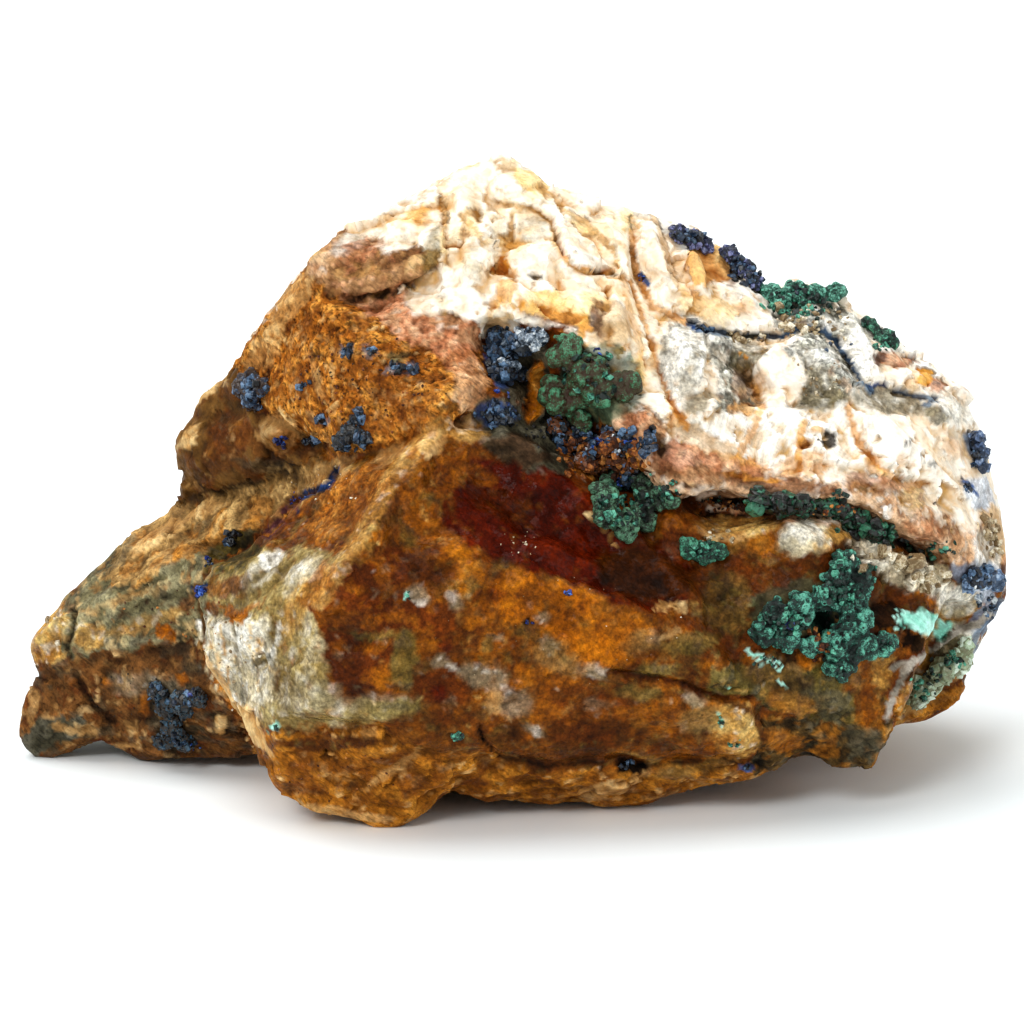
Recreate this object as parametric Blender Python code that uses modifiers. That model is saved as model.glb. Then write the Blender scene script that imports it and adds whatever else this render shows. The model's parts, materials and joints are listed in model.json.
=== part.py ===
"""Azurite and malachite specimen: a broken lump of quartz, feldspar and brown iron oxide with green
and blue copper crusts grown on it.

The lump is one solid. Blocks, each the convex hull of a few corners, are joined, remeshed, carved
along named creases, roughened and cut flat where it rests. A corner is given as (across, down, back)
in millimetres: how far right and down it shows in the front view, seen from 12 degrees above, and
how far it lies behind the middle of the lump. The crusts are clusters of small balls on its surface.
"""

import math
import random

import bmesh
import bpy
import numpy as np
from mathutils import Matrix, Vector
from mathutils.bvhtree import BVHTree

MM = 0.001

# The overall size, which the finished lump is fitted to
LENGTH = 99.4
DEPTH = 58.0
HEIGHT = 61.6

# The front view: its width at the middle of the lump, how high it looks from, and how far away
VIEW_WIDTH = 102.4
VIEW_ELEVATION = math.radians(12.0)
VIEW_DISTANCE = 380.0
VIEW_HEIGHT = 26.3

# The rock's remesh size and face count, and the same for the crusts, whose balls are bridged by smaller
# ones and stand out of the rock by a share of their radius, with a gap under them
VOXEL = 0.6
ROCK_FACES = 5500
CRUST_VOXEL = 0.22
FACES_PER_BALL = 20
BRIDGE = 0.75
LIFT = 0.3
GAP = 0.3
SEED = 7

# How soon a crease reaches its full depth as the surface turns to face the front
FACING = 2.5

FORWARD = Vector((0.0, math.cos(VIEW_ELEVATION), -math.sin(VIEW_ELEVATION)))
UPWARD = Vector((0.0, math.sin(VIEW_ELEVATION), math.cos(VIEW_ELEVATION)))
EYE = Vector((0.0, 0.0, VIEW_HEIGHT)) - FORWARD * VIEW_DISTANCE

# The solid middle, whose outside lies just under the blocks
INSIDE = [
    (36, 31, -3), (46, 31, -7.5), (51, 31.5, -8.5), (57, 33, -10), (62, 42, -13), (66, 48.5, -14.5),
    (48, 37, -12.5), (48.5, 41, -14.2), (53, 42, -14), (57, 38, -12),
    (76, 50.2, -13), (84, 50.6, -12), (90, 53, -9), (95, 55, -5), (94, 60, -6), (84, 58, -14),
    (64, 58, -15), (44, 50, -12), (34, 48, -9), (28, 45, -1), (23, 49, 4), (26, 54, 0), (30, 70, 2),
    (80, 70, 0),
    (40, 36, 20), (60, 34, 22), (90, 48, 20), (84, 64, 18), (36, 66, 18),
]

# The blocks that the outside shows, each with the corners that it needs
BLOCKS = {
    "tail_wing": [
        (2.4, 64.4, 5), (3.1, 63.1, 6), (4.6, 61.1, 7), (6.9, 60.0, 8), (8.2, 58.8, 8), (13.0, 53.7, 10),
        (14.5, 52.7, 10), (17.7, 49.6, 10), (3.3, 65.9, 5), (10.5, 73.5, 4), (14.2, 75.1, 3),
        (20.7, 75.5, 1), (25.3, 75.3, 0), (27.2, 74.8, -2), (10, 66, 3), (14, 60, 3), (20, 58, 0),
        (22.6, 49, 4.5), (28, 50, -2), (24, 62, -3), (18, 70, -1), (26, 70, -4), (30, 55, -5),
        (30, 70, -8), (6, 64, 14), (14, 56, 20), (24, 50, 22), (12, 70, 16), (24, 70, 20),
        (30, 52, 24), (30, 68, 24),
    ],
    "tail_foot": [
        (2.7, 74.6, 5), (3.1, 75.3, 5), (4.8, 75.8, 5), (6.3, 75.0, 4.5), (8.4, 73.7, 4), (10.5, 73.5, 4),
        (3.6, 72.8, 5), (3.0, 70.5, 5), (3.1, 68.4, 5), (4.4, 67.3, 5), (10, 66, 2.5), (12, 72, 2.5),
        (5, 70.5, 13), (10, 70, 14), (9, 64, 12),
    ],
    "dark_block": [
        (18.1, 46.6, 6), (18.4, 44.1, 6), (19.7, 43.2, 6), (20.3, 39.7, 6), (23.0, 38.0, 5),
        (25.0, 36.0, 4), (17.7, 49.6, 7), (20.3, 49.3, 5), (22.6, 48.5, 3), (24.9, 47.6, 1),
        (33.5, 46, -6), (33, 43.7, -6), (26, 40.6, -2), (30, 37, -3), (21, 42, 22), (20, 48, 22),
        (30, 36, 26), (32, 48, 24), (26, 39, 24),
    ],
    "granular_face": [
        (25.0, 35.7, 1), (26.7, 32.2, 0), (28.5, 29.2, -1), (30.7, 27.4, -2), (31.7, 24.8, -3),
        (23.0, 38.0, 3), (26.5, 40.6, -2), (32.2, 43.7, -8), (34.3, 45.4, -12), (39.9, 43.7, -15.5),
        (42.7, 42, -16), (47, 40, -15), (48, 32, -10), (42, 30, -8), (34.5, 30, -6), (26, 36, 20),
        (31, 28, 18), (36, 30, 26), (45, 40, 24), (34, 45, 24),
    ],
    "cap_peak": [
        (31.7, 24.8, -3), (33.4, 23.2, -1), (35.7, 22.5, 0), (39.5, 21.1, 2), (43.4, 19.2, 4),
        (47.6, 16.3, 5), (49.7, 15.5, 5), (50.6, 15.3, 5), (52.4, 15.9, 5), (53.5, 17.0, 5),
        (55.2, 19.1, 5), (58.6, 20.7, 5), (34.5, 30, -6), (41, 30, -8), (47, 33, -10), (55, 33, -10),
        (60, 30, -8), (46, 25, -5), (53, 24, -4), (58, 26, -5.5), (36, 25, 16), (45, 20, 16),
        (50.6, 17, 14), (56, 21, 16), (60, 28, 22), (40, 32, 24),
    ],
    "cap_middle": [
        (55.2, 19.1, 5), (58.6, 20.7, 5), (61.3, 20.6, 5.5), (62.8, 19.7, 6), (63.6, 20.4, 6),
        (65.0, 20.7, 6), (66.7, 22.4, 6), (70.7, 24.2, 6), (71.6, 23.5, 6), (72.3, 24.5, 6),
        (76.5, 28.9, 5), (55, 33, -10), (58, 37, -12), (64, 46, -16), (66.5, 48.5, -16.5),
        (72, 49, -16), (76, 47, -14), (78, 38, -6), (76, 31, -1), (62, 30, -6.5), (68, 30, -4),
        (70, 36, -7), (62, 36, -10), (70, 42, -12), (60, 22, 18), (70, 27, 18), (76, 32, 20),
        (62, 40, 28), (74, 44, 28),
    ],
    "cap_right": [
        (76.5, 28.9, 5), (77.5, 28.5, 4), (79.7, 27.9, 4.5), (83.0, 28.5, 4.5), (84.2, 29.2, 4.5),
        (85.0, 30.7, 4.5), (86.6, 32.2, 4.5), (89.3, 34.0, 4), (91.2, 36.4, 4), (92.8, 37.0, 3.5),
        (94.1, 38.7, 3.5), (96.6, 41.1, 3), (98.3, 42.9, 2.5), (72, 49, -16), (76, 50, -16.5),
        (83, 49.5, -15.5), (89, 51.5, -13.5), (93.7, 54, -11), (96.5, 51, -6), (75, 35, -3.5),
        (80.5, 34, -3), (86, 39, -5.5), (90, 44, -8), (80, 42, -10), (93, 43, -4.5), (80, 30, 18),
        (86, 34, 20), (93, 41, 20), (96, 45, 16), (80, 46, 30), (92, 50, 26),
    ],
    "right_end": [
        (98.3, 42.9, 2.5), (99.1, 44.1, 2), (99.4, 45.9, 1), (98.9, 47.4, 1), (98.9, 51.3, -1),
        (99.3, 54.5, -2), (100.1, 56.5, -2), (100.2, 59.1, -2), (98.9, 61.4, -3), (97.7, 60.8, -5),
        (96, 56, -9), (93.7, 54, -11), (94, 60, -9), (90, 50, -11), (98, 47, 14), (98.5, 57, 14),
        (94, 44, 18), (94, 58, 22),
    ],
    "quartz_core": [
        (66, 51.5, -16), (76, 52.5, -16), (84, 53, -15), (92, 56.5, -11), (94.5, 59, -9.5),
        (93.5, 61.5, -10), (90, 64, -13), (80, 61, -18.5), (72, 60, -19), (66, 62, -20),
        (70, 66, -21), (68, 50, 26), (80, 50, 28), (92, 56, 26), (90, 64, 22), (70, 66, 24),
    ],
    "right_block": [
        (71, 64, -20), (75, 60.5, -19), (80, 60.5, -18.5), (88, 61, -15), (92.5, 62, -12.5),
        (91.7, 65.2, -12.5), (88.2, 67.8, -14.5), (87.6, 71.7, -15.5), (88.0, 73.5, -15),
        (87.4, 74.7, -15), (86.8, 76.0, -14.5), (81.5, 75.9, -15), (78.5, 75.3, -16),
        (75.9, 71.5, -19), (74.5, 69, -21), (74, 60, 20), (90, 62, 18), (86, 69, 14), (76, 70, 16),
    ],
    "right_side": [
        (97.7, 60.8, -4), (98.9, 61.4, -3), (97.5, 63.0, -2), (97.1, 65.8, -1), (95.9, 68.6, -1),
        (95.3, 70.1, -0.5), (92.7, 70.9, -1), (89.8, 71.7, -2), (87.8, 72.1, -3), (88.5, 62, -6),
        (97, 62, 13), (95, 67, 11), (91, 68, 14), (86, 69, 14), (88, 60, 24),
    ],
    "front_block": [
        (43.7, 42.2, -16), (47, 43.5, -16), (40.8, 45.2, -18), (33.7, 46.8, -12), (34.1, 56.3, -25),
        (31.5, 60, -26), (30.5, 70, -26), (27.5, 72.2, -23), (27.2, 52.9, -8), (25.7, 55.0, -9.5),
        (22.7, 56.5, -11), (20.4, 58.1, -12), (20.6, 61.0, -12.5), (20.1, 64.0, -13),
        (21.2, 66.7, -13.5), (24.3, 71.5, -16), (27.2, 74.8, -18), (55, 45, -15), (62, 52, -18),
        (66, 55, -19), (70, 60, -20.5), (72, 66, -21.5), (74.5, 70, -21), (70, 74, -20),
        (46, 75, -23), (39, 71.9, -26), (30, 50, 18), (60, 46, 24), (70, 56, 24), (70, 70, 20),
        (34, 70, 18), (45, 72, 20),
    ],
    "amber_front": [
        (34.1, 56.3, -25.5), (45, 53.8, -22.4), (51.7, 56.6, -23.2), (56.5, 58.4, -23.8),
        (61.3, 58.8, -23.4), (65.7, 60.7, -22.6), (71, 64, -22.2), (75, 69.4, -21.6),
        (70, 74, -20.5), (46, 75, -23.6), (39, 71.9, -26.5), (30.5, 70, -26.5), (31.5, 60, -26.5),
        (48, 63, -25.8), (58, 66, -25), (38, 60, 0), (66, 66, 0), (38, 70, 0), (66, 70, 0),
    ],
    "front_ledge": [
        (27.2, 74.8, -18), (27.9, 76.7, -18), (28.2, 78.4, -18), (31.3, 80.4, -19),
        (36.5, 81.9, -20), (38.4, 82.6, -20.3), (39.9, 82.1, -20), (43.9, 79.9, -18),
        (46.4, 78.7, -17), (47, 74.5, -22.5), (38.5, 72.5, -25.5), (27.5, 72.8, -22), (30, 71, 8),
        (46, 72, 12), (38, 76, -2),
    ],
    "underside": [
        (46.4, 78.7, -17), (51.0, 78.7, -16), (55.2, 79.5, -15), (58.2, 80.4, -13.2),
        (62.8, 80.2, -13), (65.7, 78.5, -15), (73.7, 77.6, -14.5), (76, 75.5, -16), (74, 73, -19),
        (46.5, 75, -22.5), (60, 75.5, -21), (48, 72, 14), (72, 71, 16), (60, 74, 6),
    ],
    "yellow_end": [
        (70.5, 69, -21.2), (75.5, 68.6, -20.8), (77.6, 71.5, -18.4), (79.5, 75.2, -16), (76.5, 76.8, -15.6),
        (73.7, 77.4, -15.2), (70.5, 76, -18.5), (73, 73.5, -20.4), (78.5, 69, 8), (79, 74, 4), (71, 70, 8),
        (72, 75.5, 4),
    ],
    "back_foot": [
        (60, 68, 18), (66, 71.5, 20), (72, 71.7, 20), (78, 71.6, 19), (84, 68, 16), (64, 60, 26),
        (80, 58, 28), (62, 62, 8), (82, 64, 6),
    ],
    "inside_top": [
        (38, 28, 14), (50, 21, 13), (60, 25, 17), (70, 29, 19), (82, 34, 19), (90, 42, 20), (96, 50, 16),
        (74, 42, 24), (60, 40, 25), (45, 38, 24), (50, 40, 0), (80, 48, 0), (60, 34, 0),
    ],
    "inside_back": [
        (34, 40, 20), (32, 62, 20), (44, 65, 25), (60, 63, 27), (75, 63, 26), (88, 63, 19), (93, 50, 20),
        (80, 42, 23), (60, 34, 25), (45, 34, 24), (50, 50, 0), (80, 55, 0),
    ],
    "back_left": [
        (34, 34, 23), (43, 28, 24), (53, 31, 26), (57, 42, 29), (49, 55, 28), (37, 60, 23), (31, 50, 24),
        (40, 41, 30), (44, 51, 30), (45, 45, 0), (37, 40, 8),
    ],
    "back_middle": [
        (54, 30, 21), (63, 32, 27), (72, 37, 28), (77, 47, 29), (68, 58, 30.5), (55, 60, 28), (50, 45, 27),
        (60, 40, 30), (64, 51, 31.5), (60, 45, 0), (70, 50, 0),
    ],
    "back_right": [
        (73, 37, 24), (84, 42, 25), (93, 49, 23), (95, 58, 19), (87, 65, 20), (75, 62, 28), (71, 50, 27),
        (80, 47, 28), (84, 56, 27), (80, 50, 0), (88, 56, 0),
    ],
    "back_low": [
        (31, 61, 22), (44, 60, 27), (58, 63, 29), (73, 61, 27), (85, 63, 22), (86, 67.5, 16),
        (66, 69.5, 23), (48, 69, 21), (34, 70, 15), (52, 66, 27), (45, 60, 0), (70, 62, 0),
    ],
}

# Creases and ridges: (corners as (across, down), half width, height), a negative height being a groove
CARVED = {
    "lump_undercut": ([(33.6, 29.6), (35.7, 30.2), (38.4, 29.8), (41.2, 28.8), (43.6, 27.2)], 1.8, -2.6),
    "lump_back": ([(38.5, 23.6), (41.5, 24.4), (43.8, 26.0)], 1.2, -1.2),
    "open_seam": ([(68.5, 49.8), (75, 50.4), (83, 50.3), (87, 51.8), (90.5, 54), (93.7, 56)], 1.6, -3.0),
    "middle_pocket": ([(49.5, 34), (52.5, 37.5), (55, 41.5), (59.5, 44.5), (63, 47.5)], 4.2, -4.0),
    "pocket_roof": ([(47.5, 31.6), (52, 31.0), (56.5, 32.6), (60.5, 35.2)], 1.4, 1.4),
    "fold_left": ([(63.0, 23.7), (63.6, 27.3), (65.0, 30.2), (68.8, 32.1)], 1.1, -1.3),
    "fold_right": ([(63.6, 29.0), (65.2, 34.0), (66.9, 38.8)], 1.0, -1.1),
    "cap_step": ([(69.0, 31.6), (73.5, 33.4), (78.0, 33.6)], 1.2, -1.5),
    "quartz_hollow": ([(73.0, 36.0), (75.5, 39.5), (81.5, 38.8)], 2.6, -1.6),
    "notch": ([(49.0, 25.2), (49.9, 26.6), (52.4, 28.6)], 1.1, -1.5),
    "face_edge": ([(26.5, 41.0), (32.0, 44.4), (34.6, 46.2), (38.0, 45.4), (42.8, 42.8)], 1.3, -1.6),
    "dark_face": ([(48.5, 48.0), (53.0, 50.5), (58.5, 53.0), (63.5, 55.5)], 4.6, -1.8),
    "ridge": ([(43.7, 42.6), (40.8, 45.4), (38.9, 47.8), (36.2, 53.0), (34.1, 56.3)], 1.5, 1.0),
    "bench_line": ([(26.8, 71.6), (31.0, 72.2), (35.0, 71.8), (39.5, 72.4)], 0.9, -1.3),
    "foot_line": ([(46.5, 74.6), (50, 76), (56, 75.6), (62, 76.4), (69, 75.4), (75, 75)], 0.9, -1.3),
    "face_crack": ([(62.1, 67.1), (65.1, 67.3), (69.0, 67.8), (71.8, 69.0), (75.1, 69.4)], 0.8, -1.1),
    "left_plate": ([(31.5, 60.0), (35.0, 59.6), (38.5, 62.0), (37.5, 67.0), (33.0, 67.8)], 1.6, 0.9),
    "front_cavity": ([(81.4, 60.9), (82.3, 62.3)], 1.8, -3.0),
    "right_bench": ([(75.5, 70.8), (80.0, 71.6), (84.0, 71.2), (87.4, 71.0)], 1.0, -1.4),
    "tail_hollow": ([(21.8, 54.2), (24.2, 54.6), (26.0, 54.4)], 1.7, -2.0),
    "tail_step": ([(9.5, 58.9), (14.0, 56.6), (18.5, 53.6), (21.0, 51.6)], 0.9, -1.1),
    "tail_rib": ([(7.0, 64.8), (12.0, 64.0), (17.5, 63.4)], 1.0, 1.1),
    "tail_pebble": ([(22.0, 71.7), (22.2, 71.9)], 1.1, 1.1),
    "shoulder_groove": ([(18.5, 49.6), (22.6, 48.9), (26.5, 47.6), (31.0, 47.6)], 1.0, -1.4),
    "shoulder_pebble": ([(27.2, 42.6), (28.8, 43.6)], 1.6, 1.4),
}

# Blades of feldspar and steps of quartz that stand on the surface: where they start and end in the
# front view, how wide and how high
BLADES = [
    ((45.8, 19.4), (48.4, 24.2), 2.4, 1.5), ((49.6, 17.6), (52.6, 21.2), 2.2, 1.4),
    ((53.2, 20.4), (57.4, 22.2), 2.0, 1.4), ((46.4, 27.6), (48.6, 25.0), 2.0, 1.5),
    ((50.4, 28.6), (53.6, 30.4), 2.6, 1.8), ((54.2, 25.8), (59.6, 27.4), 2.2, 1.6),
    ((55.6, 29.8), (61.6, 33.8), 2.2, 1.5), ((59.8, 22.8), (62.4, 27.6), 2.0, 1.4),
    ((61.0, 29.8), (62.4, 36.2), 1.8, 1.4), ((64.6, 22.8), (66.6, 28.8), 2.2, 1.6),
    ((68.6, 25.2), (70.2, 29.4), 2.4, 1.8), ((67.4, 33.6), (69.8, 38.8), 2.2, 1.4),
    ((71.0, 40.6), (68.4, 46.0), 1.6, 1.2), ((75.2, 40.8), (73.0, 46.4), 1.6, 1.2),
    ((78.6, 41.2), (80.2, 45.8), 1.6, 1.2), ((84.0, 31.4), (87.0, 37.2), 1.8, 1.4),
    ((81.4, 35.0), (84.8, 39.8), 2.6, 1.5), ((86.8, 42.0), (89.0, 45.0), 2.6, 1.8),
    ((90.4, 38.8), (94.4, 42.6), 1.8, 1.3), ((91.2, 45.8), (95.6, 49.0), 2.0, 1.3),
    ((63.8, 41.0), (65.4, 46.0), 1.8, 1.2), ((76.4, 35.6), (79.6, 39.0), 4.2, 2.2),
    ((39.6, 48.6), (36.0, 55.0), 2.2, 1.4), ((43.2, 44.4), (40.4, 49.0), 2.0, 1.3),
    ((23.0, 61.8), (21.6, 66.8), 2.0, 1.3), ((28.4, 54.0), (25.4, 58.2), 2.2, 1.3),
    ((49.8, 43.6), (54.4, 45.4), 2.2, 1.4), ((78.0, 53.0), (82.6, 55.0), 2.0, 1.3),
    ((89.0, 55.4), (93.0, 58.4), 2.0, 1.3), ((4.4, 64.2), (7.0, 61.6), 1.8, 1.4),
]

# A blade's section, as shares of its half width and its height, and how deep its root is
BLADE_SECTION = [(1.0, 0.0), (-1.0, 0.0), (0.9, 0.45), (-0.75, 0.7), (0.15, 1.0)]
ROOT = 1.2

# The two scales of the broken surface: grain size and height
ROUGHNESS = {"broken": (9.0, 2.8), "weathered": (3.2, 1.0)}

# The crusts: the colour, and each ball as (across, down, radius)
CRUSTS = {
    "malachite_front": ("malachite", [
        (76.0, 62.6, 1.5), (77.6, 61.0, 1.6), (79.6, 60.2, 1.5), (78.4, 63.4, 1.3), (81.8, 59.0, 1.5),
        (84.0, 59.4, 1.7), (83.2, 57.2, 1.4), (83.8, 55.6, 1.1), (85.8, 57.4, 1.2), (85.2, 61.6, 1.6),
        (83.0, 64.0, 1.5), (83.4, 66.2, 1.5), (86.0, 64.2, 1.3), (88.0, 63.8, 1.3), (80.6, 64.0, 1.2),
    ]),
    "malachite_seam": ("malachite", [
        (75.6, 49.4, 1.2), (77.6, 50.0, 1.4), (79.8, 49.6, 1.3), (81.8, 50.2, 1.1), (83.8, 50.2, 1.2),
        (85.6, 51.6, 1.2), (87.4, 52.4, 1.3), (89.2, 53.0, 1.1), (90.8, 54.0, 1.3), (92.8, 55.2, 1.3),
    ]),
    "malachite_heart": ("malachite", [
        (57.0, 34.4, 1.7), (58.6, 37.0, 1.8), (60.0, 39.0, 1.5), (56.2, 38.6, 1.9), (62.2, 38.6, 1.5),
        (57.6, 40.6, 1.4), (58.4, 41.6, 1.2),
    ]),
    "malachite_ring": ("malachite", [
        (61.2, 47.8, 1.4), (60.0, 49.4, 1.4), (60.4, 51.2, 1.5), (62.2, 52.2, 1.5), (64.0, 51.6, 1.4),
        (65.0, 49.8, 1.4), (64.4, 48.2, 1.3), (66.4, 49.2, 1.2), (68.0, 49.6, 1.2),
    ]),
    "malachite_pair": ("malachite", [(68.6, 54.4, 1.1), (70.2, 54.8, 1.2), (71.6, 54.8, 1.0)]),
    "malachite_crown": ("malachite", [
        (76.0, 29.4, 1.3), (77.6, 30.2, 1.4), (79.4, 29.2, 1.3), (81.2, 29.6, 1.3), (83.0, 29.4, 1.2),
        (78.0, 31.8, 1.0), (76.4, 31.2, 1.0),
    ]),
    "malachite_ball": ("malachite", [(88.0, 34.0, 1.3), (86.4, 32.4, 0.9), (87.0, 33.2, 0.9)]),
    "malachite_flank": ("malachite", [
        (95.0, 65.6, 1.5), (93.4, 66.6, 1.4), (92.2, 68.0, 1.4), (91.4, 69.2, 1.2), (96.0, 64.4, 1.0),
    ]),
    "azurite_crest_left": ("azurite", [(67.6, 23.4, 1.1), (69.0, 23.9, 1.1), (70.2, 24.5, 0.9)]),
    "azurite_crest_right": ("azurite", [(72.4, 25.6, 1.2), (73.6, 27.0, 1.3), (74.7, 28.2, 1.2)]),
    "azurite_heart": ("azurite", [
        (50.0, 33.2, 1.4), (50.2, 35.2, 1.5), (50.0, 37.4, 1.5), (49.0, 39.8, 1.4), (48.6, 41.4, 1.3),
        (51.0, 41.2, 1.3), (52.6, 34.0, 1.3), (53.8, 33.2, 1.1),
    ]),
    "azurite_pocket": ("azurite", [
        (55.6, 42.6, 1.3), (57.4, 43.6, 1.4), (59.2, 44.8, 1.5), (60.6, 46.4, 1.3), (61.4, 43.8, 1.3),
        (62.8, 45.8, 1.3), (64.2, 44.4, 1.2), (58.4, 46.4, 1.2),
    ]),
    "azurite_shoulder": ("azurite", [
        (24.6, 38.2, 1.1), (25.8, 39.6, 1.2), (26.8, 38.4, 1.0), (25.6, 37.2, 0.9),
    ]),
    "azurite_button": ("azurite", [(34.6, 43.8, 1.0), (35.6, 43.0, 1.1), (36.6, 43.6, 0.9)]),
    "azurite_tail": ("azurite", [
        (16.2, 68.4, 1.1), (17.0, 70.0, 1.2), (18.6, 69.4, 1.2), (20.2, 69.0, 1.1), (17.6, 72.0, 1.2),
        (18.8, 73.4, 1.1), (16.6, 73.4, 1.0),
    ]),
    "azurite_flank": ("azurite", [(96.4, 57.4, 1.2), (97.8, 57.2, 1.2), (99.0, 57.6, 1.0)]),
    "azurite_edge": ("azurite", [(97.0, 43.8, 1.0), (97.4, 45.2, 1.0), (97.6, 46.4, 0.8)]),
}

COLOURS = {"rock": (0.42, 0.21, 0.07), "malachite": (0.02, 0.25, 0.15), "azurite": (0.03, 0.07, 0.32)}


def clear_scene():
    for obj in list(bpy.data.objects):
        bpy.data.objects.remove(obj, do_unlink=True)


def collection(name):
    made = bpy.data.collections.new(name)
    bpy.context.scene.collection.children.link(made)
    return made


def material(name, colour, roughness):
    made = bpy.data.materials.new(name)
    made.use_nodes = True
    shader = made.node_tree.nodes["Principled BSDF"]
    shader.inputs["Base Color"].default_value = (*colour, 1.0)
    shader.inputs["Roughness"].default_value = roughness
    shader.inputs["Metallic"].default_value = 0.0
    return made


def seen(across, down, back):
    """The point, in mm, that shows at (across, down) in the front view and lies `back` behind the middle."""
    ray = FORWARD * VIEW_DISTANCE + UPWARD * (VIEW_WIDTH / 2 - down)
    ray.x = across - VIEW_WIDTH / 2
    return EYE + ray * ((back - EYE.y) / ray.y)


def in_view(points):
    """Where points, in mm, show in the front view: an array of (across, down)."""
    offset = points - np.array(EYE)
    depth = offset @ np.array(FORWARD)
    across = VIEW_WIDTH / 2 + offset[:, 0] * VIEW_DISTANCE / depth
    down = VIEW_WIDTH / 2 - offset @ np.array(UPWARD) * VIEW_DISTANCE / depth
    return np.column_stack([across, down])


def add_object(name, mesh, where):
    obj = bpy.data.objects.new(name, mesh)
    where.objects.link(obj)
    return obj


def add_hull(bm, points):
    """Adds to bm a closed block: the convex hull of points given in mm."""
    corners = [bm.verts.new(point * MM) for point in points]
    made = bmesh.ops.convex_hull(bm, input=corners)
    loose = {v for v in made["geom_interior"] + made["geom_unused"] if isinstance(v, bmesh.types.BMVert)}
    faces = [f for f in made["geom"] if isinstance(f, bmesh.types.BMFace)]
    bmesh.ops.recalc_face_normals(bm, faces=faces)
    bmesh.ops.delete(bm, geom=list(loose), context="VERTS")


def hull(name, points, where):
    bm = bmesh.new()
    add_hull(bm, points)
    mesh = bpy.data.meshes.new(name)
    bm.to_mesh(mesh)
    bm.free()
    return add_object(name, mesh, where)


def as_helper(obj):
    obj.hide_render = True
    obj.display_type = "WIRE"


def evaluated_mesh(obj):
    bpy.context.view_layer.update()
    return bpy.data.meshes.new_from_object(obj.evaluated_get(bpy.context.evaluated_depsgraph_get()))


def boolean(obj, name, operation, other, solver="EXACT"):
    cut = obj.modifiers.new(name, "BOOLEAN")
    cut.operation = operation
    cut.solver = solver
    if isinstance(other, bpy.types.Collection):
        cut.operand_type = "COLLECTION"
        cut.collection = other
    else:
        cut.object = other


def voxel_remesh(obj, size):
    remesh = obj.modifiers.new("join", "REMESH")
    remesh.mode = "VOXEL"
    remesh.voxel_size = size * MM


def decimate(obj, faces, before):
    reduce = obj.modifiers.new("fewer faces", "DECIMATE")
    reduce.ratio = min(1.0, faces / before)


def distance_to_line(places, corners):
    """The distance of each (across, down) place to a line through corners."""
    nearest = np.full(len(places), np.inf)
    for start, end in zip(corners[:-1], corners[1:]):
        start, way = np.array(start), np.subtract(end, start)
        share = np.clip((places - start) @ way / max(way @ way, 1e-9), 0.0, 1.0)
        nearest = np.minimum(nearest, np.linalg.norm(places - start - share[:, None] * way, axis=1))
    return nearest


def carve(mesh):
    """Moves the faces that look to the front along the line of sight, by each crease's height times a
    smooth bell over its half width."""
    count = len(mesh.vertices)
    points = np.empty(count * 3)
    normals = np.empty(count * 3)
    mesh.vertices.foreach_get("co", points)
    mesh.vertices.foreach_get("normal", normals)
    points = points.reshape(-1, 3) / MM
    facing = np.clip(-normals.reshape(-1, 3) @ np.array(FORWARD) * FACING, 0.0, 1.0)
    places = in_view(points)
    move = np.zeros(count)
    for corners, half_width, height in CARVED.values():
        near = np.clip(1.0 - distance_to_line(places, corners) / half_width, 0.0, 1.0)
        move += height * near * near * (3.0 - 2.0 * near)
    points -= (move * facing)[:, None] * np.array(FORWARD)
    mesh.vertices.foreach_set("co", (points * MM).ravel())
    mesh.update()


def blade_corners(start, end, width, height, surface):
    """The corners of a blade that lies on the surface from start to end, with a ridge along it."""
    ends = [on_surface(surface, *start), on_surface(surface, *end)]
    along = (ends[1][0] - ends[0][0]).normalized()
    out = (ends[0][1] + ends[1][1]).normalized()
    aside = along.cross(out).normalized() * width / 2
    points = []
    for base, _ in ends:
        for side, up in BLADE_SECTION:
            points.append(base + aside * side + out * (height * up if up > 0 else -ROOT))
    return points


def roughen(obj, name, size, strength):
    """Raises and lowers the surface by a cloud texture of this grain size and height, in mm."""
    texture = bpy.data.textures.new(name, "CLOUDS")
    texture.noise_scale = size * MM
    push = obj.modifiers.new(name, "DISPLACE")
    push.texture = texture
    push.texture_coords = "LOCAL"
    push.strength = strength * MM
    push.mid_level = 0.5


def surface_of(obj):
    mesh = evaluated_mesh(obj)
    bm = bmesh.new()
    bm.from_mesh(mesh)
    bpy.data.meshes.remove(mesh)
    return bm, BVHTree.FromBMesh(bm)


def on_surface(surface, across, down):
    """Where the line of sight through (across, down) first meets the surface, and the normal there."""
    ray = (seen(across, down, 0.0) - EYE).normalized()
    place, normal, _, _ = surface.ray_cast(EYE * MM, ray)
    if place is None:
        place, normal, _, _ = surface.find_nearest(seen(across, down, 3.0) * MM)
    return place / MM, normal


def keep_largest(obj):
    """Applies the modifiers and keeps only the island with the most faces."""
    mesh = evaluated_mesh(obj)
    bm = bmesh.new()
    bm.from_mesh(mesh)
    bmesh.ops.triangulate(bm, faces=bm.faces)
    islands, met = [], set()
    for first in bm.faces:
        if first in met:
            continue
        met.add(first)
        island = [first]
        for face in island:
            near = [other for edge in face.edges for other in edge.link_faces if other not in met]
            island += dict.fromkeys(near)
            met.update(near)
        islands.append(island)
    islands.sort(key=len)
    spare = [face for island in islands[:-1] for face in island]
    bmesh.ops.delete(bm, geom=spare, context="FACES")
    bm.to_mesh(mesh)
    bm.free()
    obj.modifiers.clear()
    obj.data = mesh


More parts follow.
